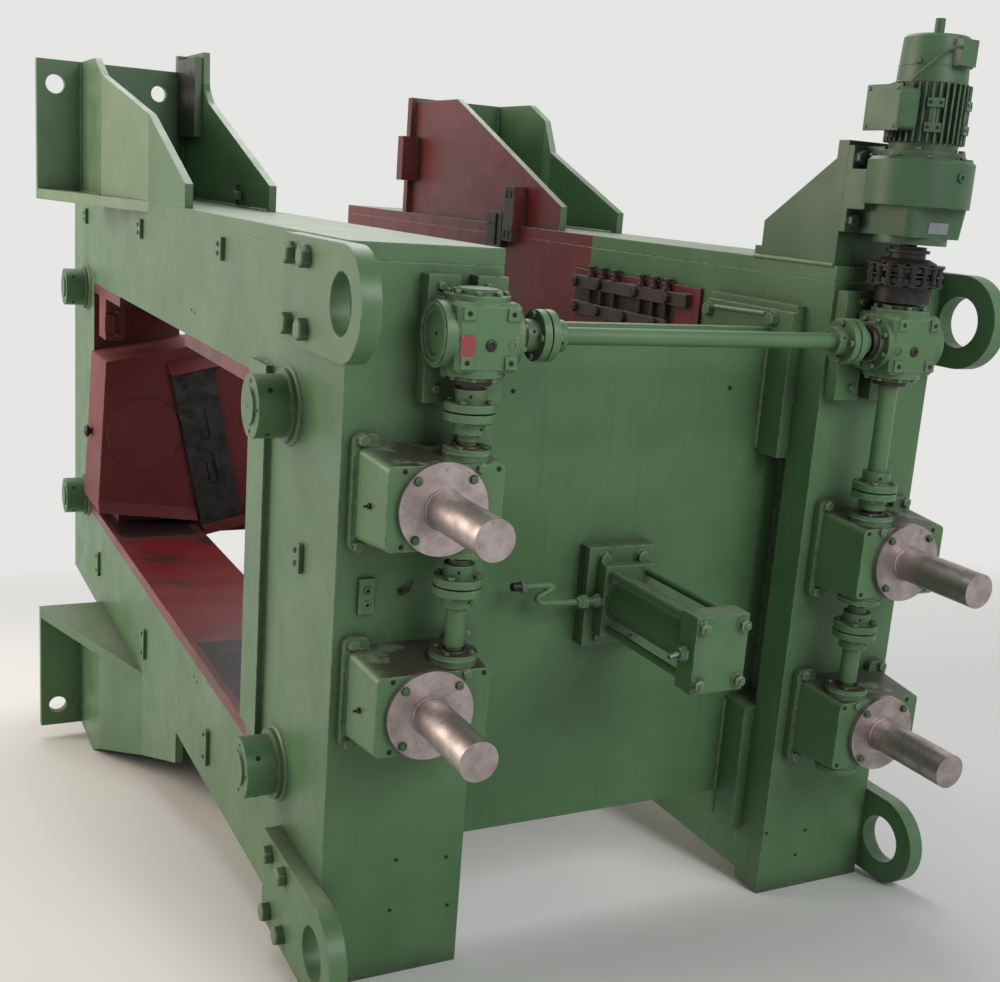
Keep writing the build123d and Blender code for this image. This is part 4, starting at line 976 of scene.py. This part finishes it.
class Welds(Fitting):
    """Lay the weld beads along the brackets, the panel and the motor bracket."""

    bl_idname = "straightener.welds"
    bl_label = "Weld beads"
    edge = 0.0

    def shape(self, kit, size):
        bead = mm(size.weld_size) * 0.75
        for side in SIDES:
            for x, y, z, end_y, end_z in (
                (824, 1700, 1800, 2080, 1800), (530, 1700, 1800, 2930, 1800), (530, 2940, 1800, 2940, 2270),
                (915, 2940, 1800, 2940, 2290), (941, 2500, 1800, 2930, 1800), (941, 2940, 1800, 2940, 2290),
                (480, 230, 240, 230, 1590), (445, 200, 1280, 200, 1590), (445, 200, 170, 200, 530),
                (445, 225, 1650, 460, 1644),
            ):
                paint = "red" if side > 0 and x == 530 else "green"
                rod(kit[paint], (side * x, y, z), (side * x, end_y, end_z), bead, sides=10)
        for x in (482, 718):
            rod(kit["green"], (x, 15, 1800), (x, 350, 1800), bead, sides=10)


# The floor reaches this far each way and turns to the backdrop's tone between these distances, in metres
FLOOR_REACH, FADE_START, FADE_END = 60, 3.2, 8.5
BACKDROP = linear("#e6e6e4")
# How strongly the pale surround lights the object, where 1 shows as written
SURROUND = 0.42
# Each lamp's name, place, target, width and height in metres, watts and colour
LAMPS = (
    ("left window light", (-7.0, 3.0, 4.2), (-0.9, 0.0, 1.2), (6, 4.5), 470, "#ffeed9"),
    ("overhead light", (0.5, 3.0, 7.5), (0, 0, 1.5), (6, 6), 360, "#ffffff"),
    ("front fill", (1.0, -8, 4.0), (0, -1.5, 1.2), (4, 3), 270, "#ffffff"),
)
# The camera that fits the photograph: its place in millimetres, its own axes, its lens and how far it sees
CAMERA_AT = Vector((-1817.9, -2653.1, 1926.5))
CAMERA_RIGHT = Vector((0.8939, -0.4423, 0.07287))
CAMERA_DOWN = Vector((-0.03655, -0.23394, -0.97156))
CAMERA_AHEAD = Vector((0.44677, 0.86582, -0.22529))
FOCAL_PIXELS, PICTURE_PIXELS, SENSOR_WIDTH, SIGHT_METRES = 1296.72, 1000, 36, 200


def seen_or_mirrored(tree):
    """1 where the camera or a reflection looks, so the pale background shows without lighting the object."""
    seen = add_node(tree, "LightPath", output="Is Camera Ray")
    mirrored = add_node(tree, "LightPath", output="Is Glossy Ray")
    return add_node(tree, "Math", {0: seen, 1: mirrored}, operation="MAXIMUM")


def lamp(name, at, target, size, power, colour):
    """A soft area lamp, aimed at a point."""
    data = bpy.data.lights.new(name, "AREA")
    data.shape = "RECTANGLE"
    data.size, data.size_y = size
    data.energy = power
    data.color = linear(colour)[:3]
    piece = new_object(name, data)
    piece.location = at
    piece.rotation_euler = (Vector(target) - Vector(at)).to_track_quat("-Z", "Y").to_euler()


class Studio(Operator):
    """Lay the pale floor, light the machine softly and set the photograph's camera."""

    bl_idname = "straightener.studio"
    bl_label = "Studio"

    def execute(self, context):
        bm = bmesh.new()
        bmesh.ops.create_grid(bm, x_segments=1, y_segments=1, size=FLOOR_REACH)
        mesh = bpy.data.meshes.new("floor")
        bm.to_mesh(mesh)
        bm.free()
        floor = new_object("floor", mesh)
        # Matt sheet floor that turns to the plain backdrop's tone further out, so no horizon shows
        material = new_material("pale matt floor")
        tree = material.node_tree
        place = add_node(tree, "TexCoord", output="Object")
        away = add_node(tree, "VectorMath", {0: place}, "Value", operation="LENGTH")
        fade = {"Value": away, "From Min": FADE_START, "From Max": FADE_END}
        away = add_node(tree, "MapRange", fade)
        far = add_node(tree, "Math", {0: away, 1: seen_or_mirrored(tree)}, operation="MULTIPLY")
        sheet = {"Base Color": tuple(context.scene.straightener.floor), "Roughness": 0.85}
        matt = add_node(tree, "BsdfPrincipled", sheet)
        glow = add_node(tree, "Emission", {"Color": BACKDROP, "Strength": 1.0})
        both = add_node(tree, "MixShader", {0: far, 1: matt, 2: glow})
        add_node(tree, "OutputMaterial", {"Surface": both})
        mesh.materials.append(material)
        world = bpy.data.worlds.new("pale surround")
        context.scene.world = world
        world.use_nodes = True
        tree = world.node_tree
        tree.nodes.clear()
        power = {"Value": seen_or_mirrored(tree), "To Min": SURROUND, "To Max": 1.0}
        power = add_node(tree, "MapRange", power)
        back = add_node(tree, "Background", {"Color": BACKDROP, "Strength": power})
        add_node(tree, "OutputWorld", {"Surface": back})
        for facts in LAMPS:
            lamp(*facts)
        data = bpy.data.cameras.new("photograph")
        data.sensor_width = SENSOR_WIDTH
        data.lens = FOCAL_PIXELS * SENSOR_WIDTH / PICTURE_PIXELS
        data.clip_end = SIGHT_METRES
        camera = new_object("photograph", data)
        turn = Matrix((CAMERA_RIGHT, -CAMERA_DOWN, -CAMERA_AHEAD)).transposed().to_4x4()
        lean = STANCE.to_3x3().normalized().to_4x4()
        camera.matrix_world = Matrix.Translation(STANCE @ CAMERA_AT) @ lean @ turn
        context.scene.camera = camera
        context.scene.view_settings.view_transform = "Standard"
        return {"FINISHED"}


PIECES = (
    Paint, LugBolts, BossDetails, SideTabs, JackFittings, ColumnFittings, GearboxFittings, ShaftBolts,
    ChainHub, MotorFittings, BrakeCable, CylinderFittings, ClampScrews, BeamDetails, BracketDetails, Welds,
    Studio,
)


class MachinePanel(Panel):
    """The machine's colours, sizes and pieces."""

    bl_idname = "VIEW3D_PT_straightener"
    bl_label = "Straightening machine"
    bl_space_type = "VIEW_3D"
    bl_region_type = "UI"
    bl_category = "Machine"

    def draw(self, context):
        size = context.scene.straightener
        for name in MachineSettings.__annotations__:
            self.layout.prop(size, name)
        for piece in PIECES:
            self.layout.operator(piece.bl_idname)


def register():
    for made in (MachineSettings, *PIECES, MachinePanel):
        bpy.utils.register_class(made)
    bpy.types.Scene.straightener = PointerProperty(type=MachineSettings)


def unregister():
    del bpy.types.Scene.straightener
    for made in reversed((MachineSettings, *PIECES, MachinePanel)):
        bpy.utils.unregister_class(made)


def main():
    register()
    for piece in PIECES:
        getattr(bpy.ops.straightener, piece.bl_idname.split(".")[1])()


if __name__ == "__main__":
    main()
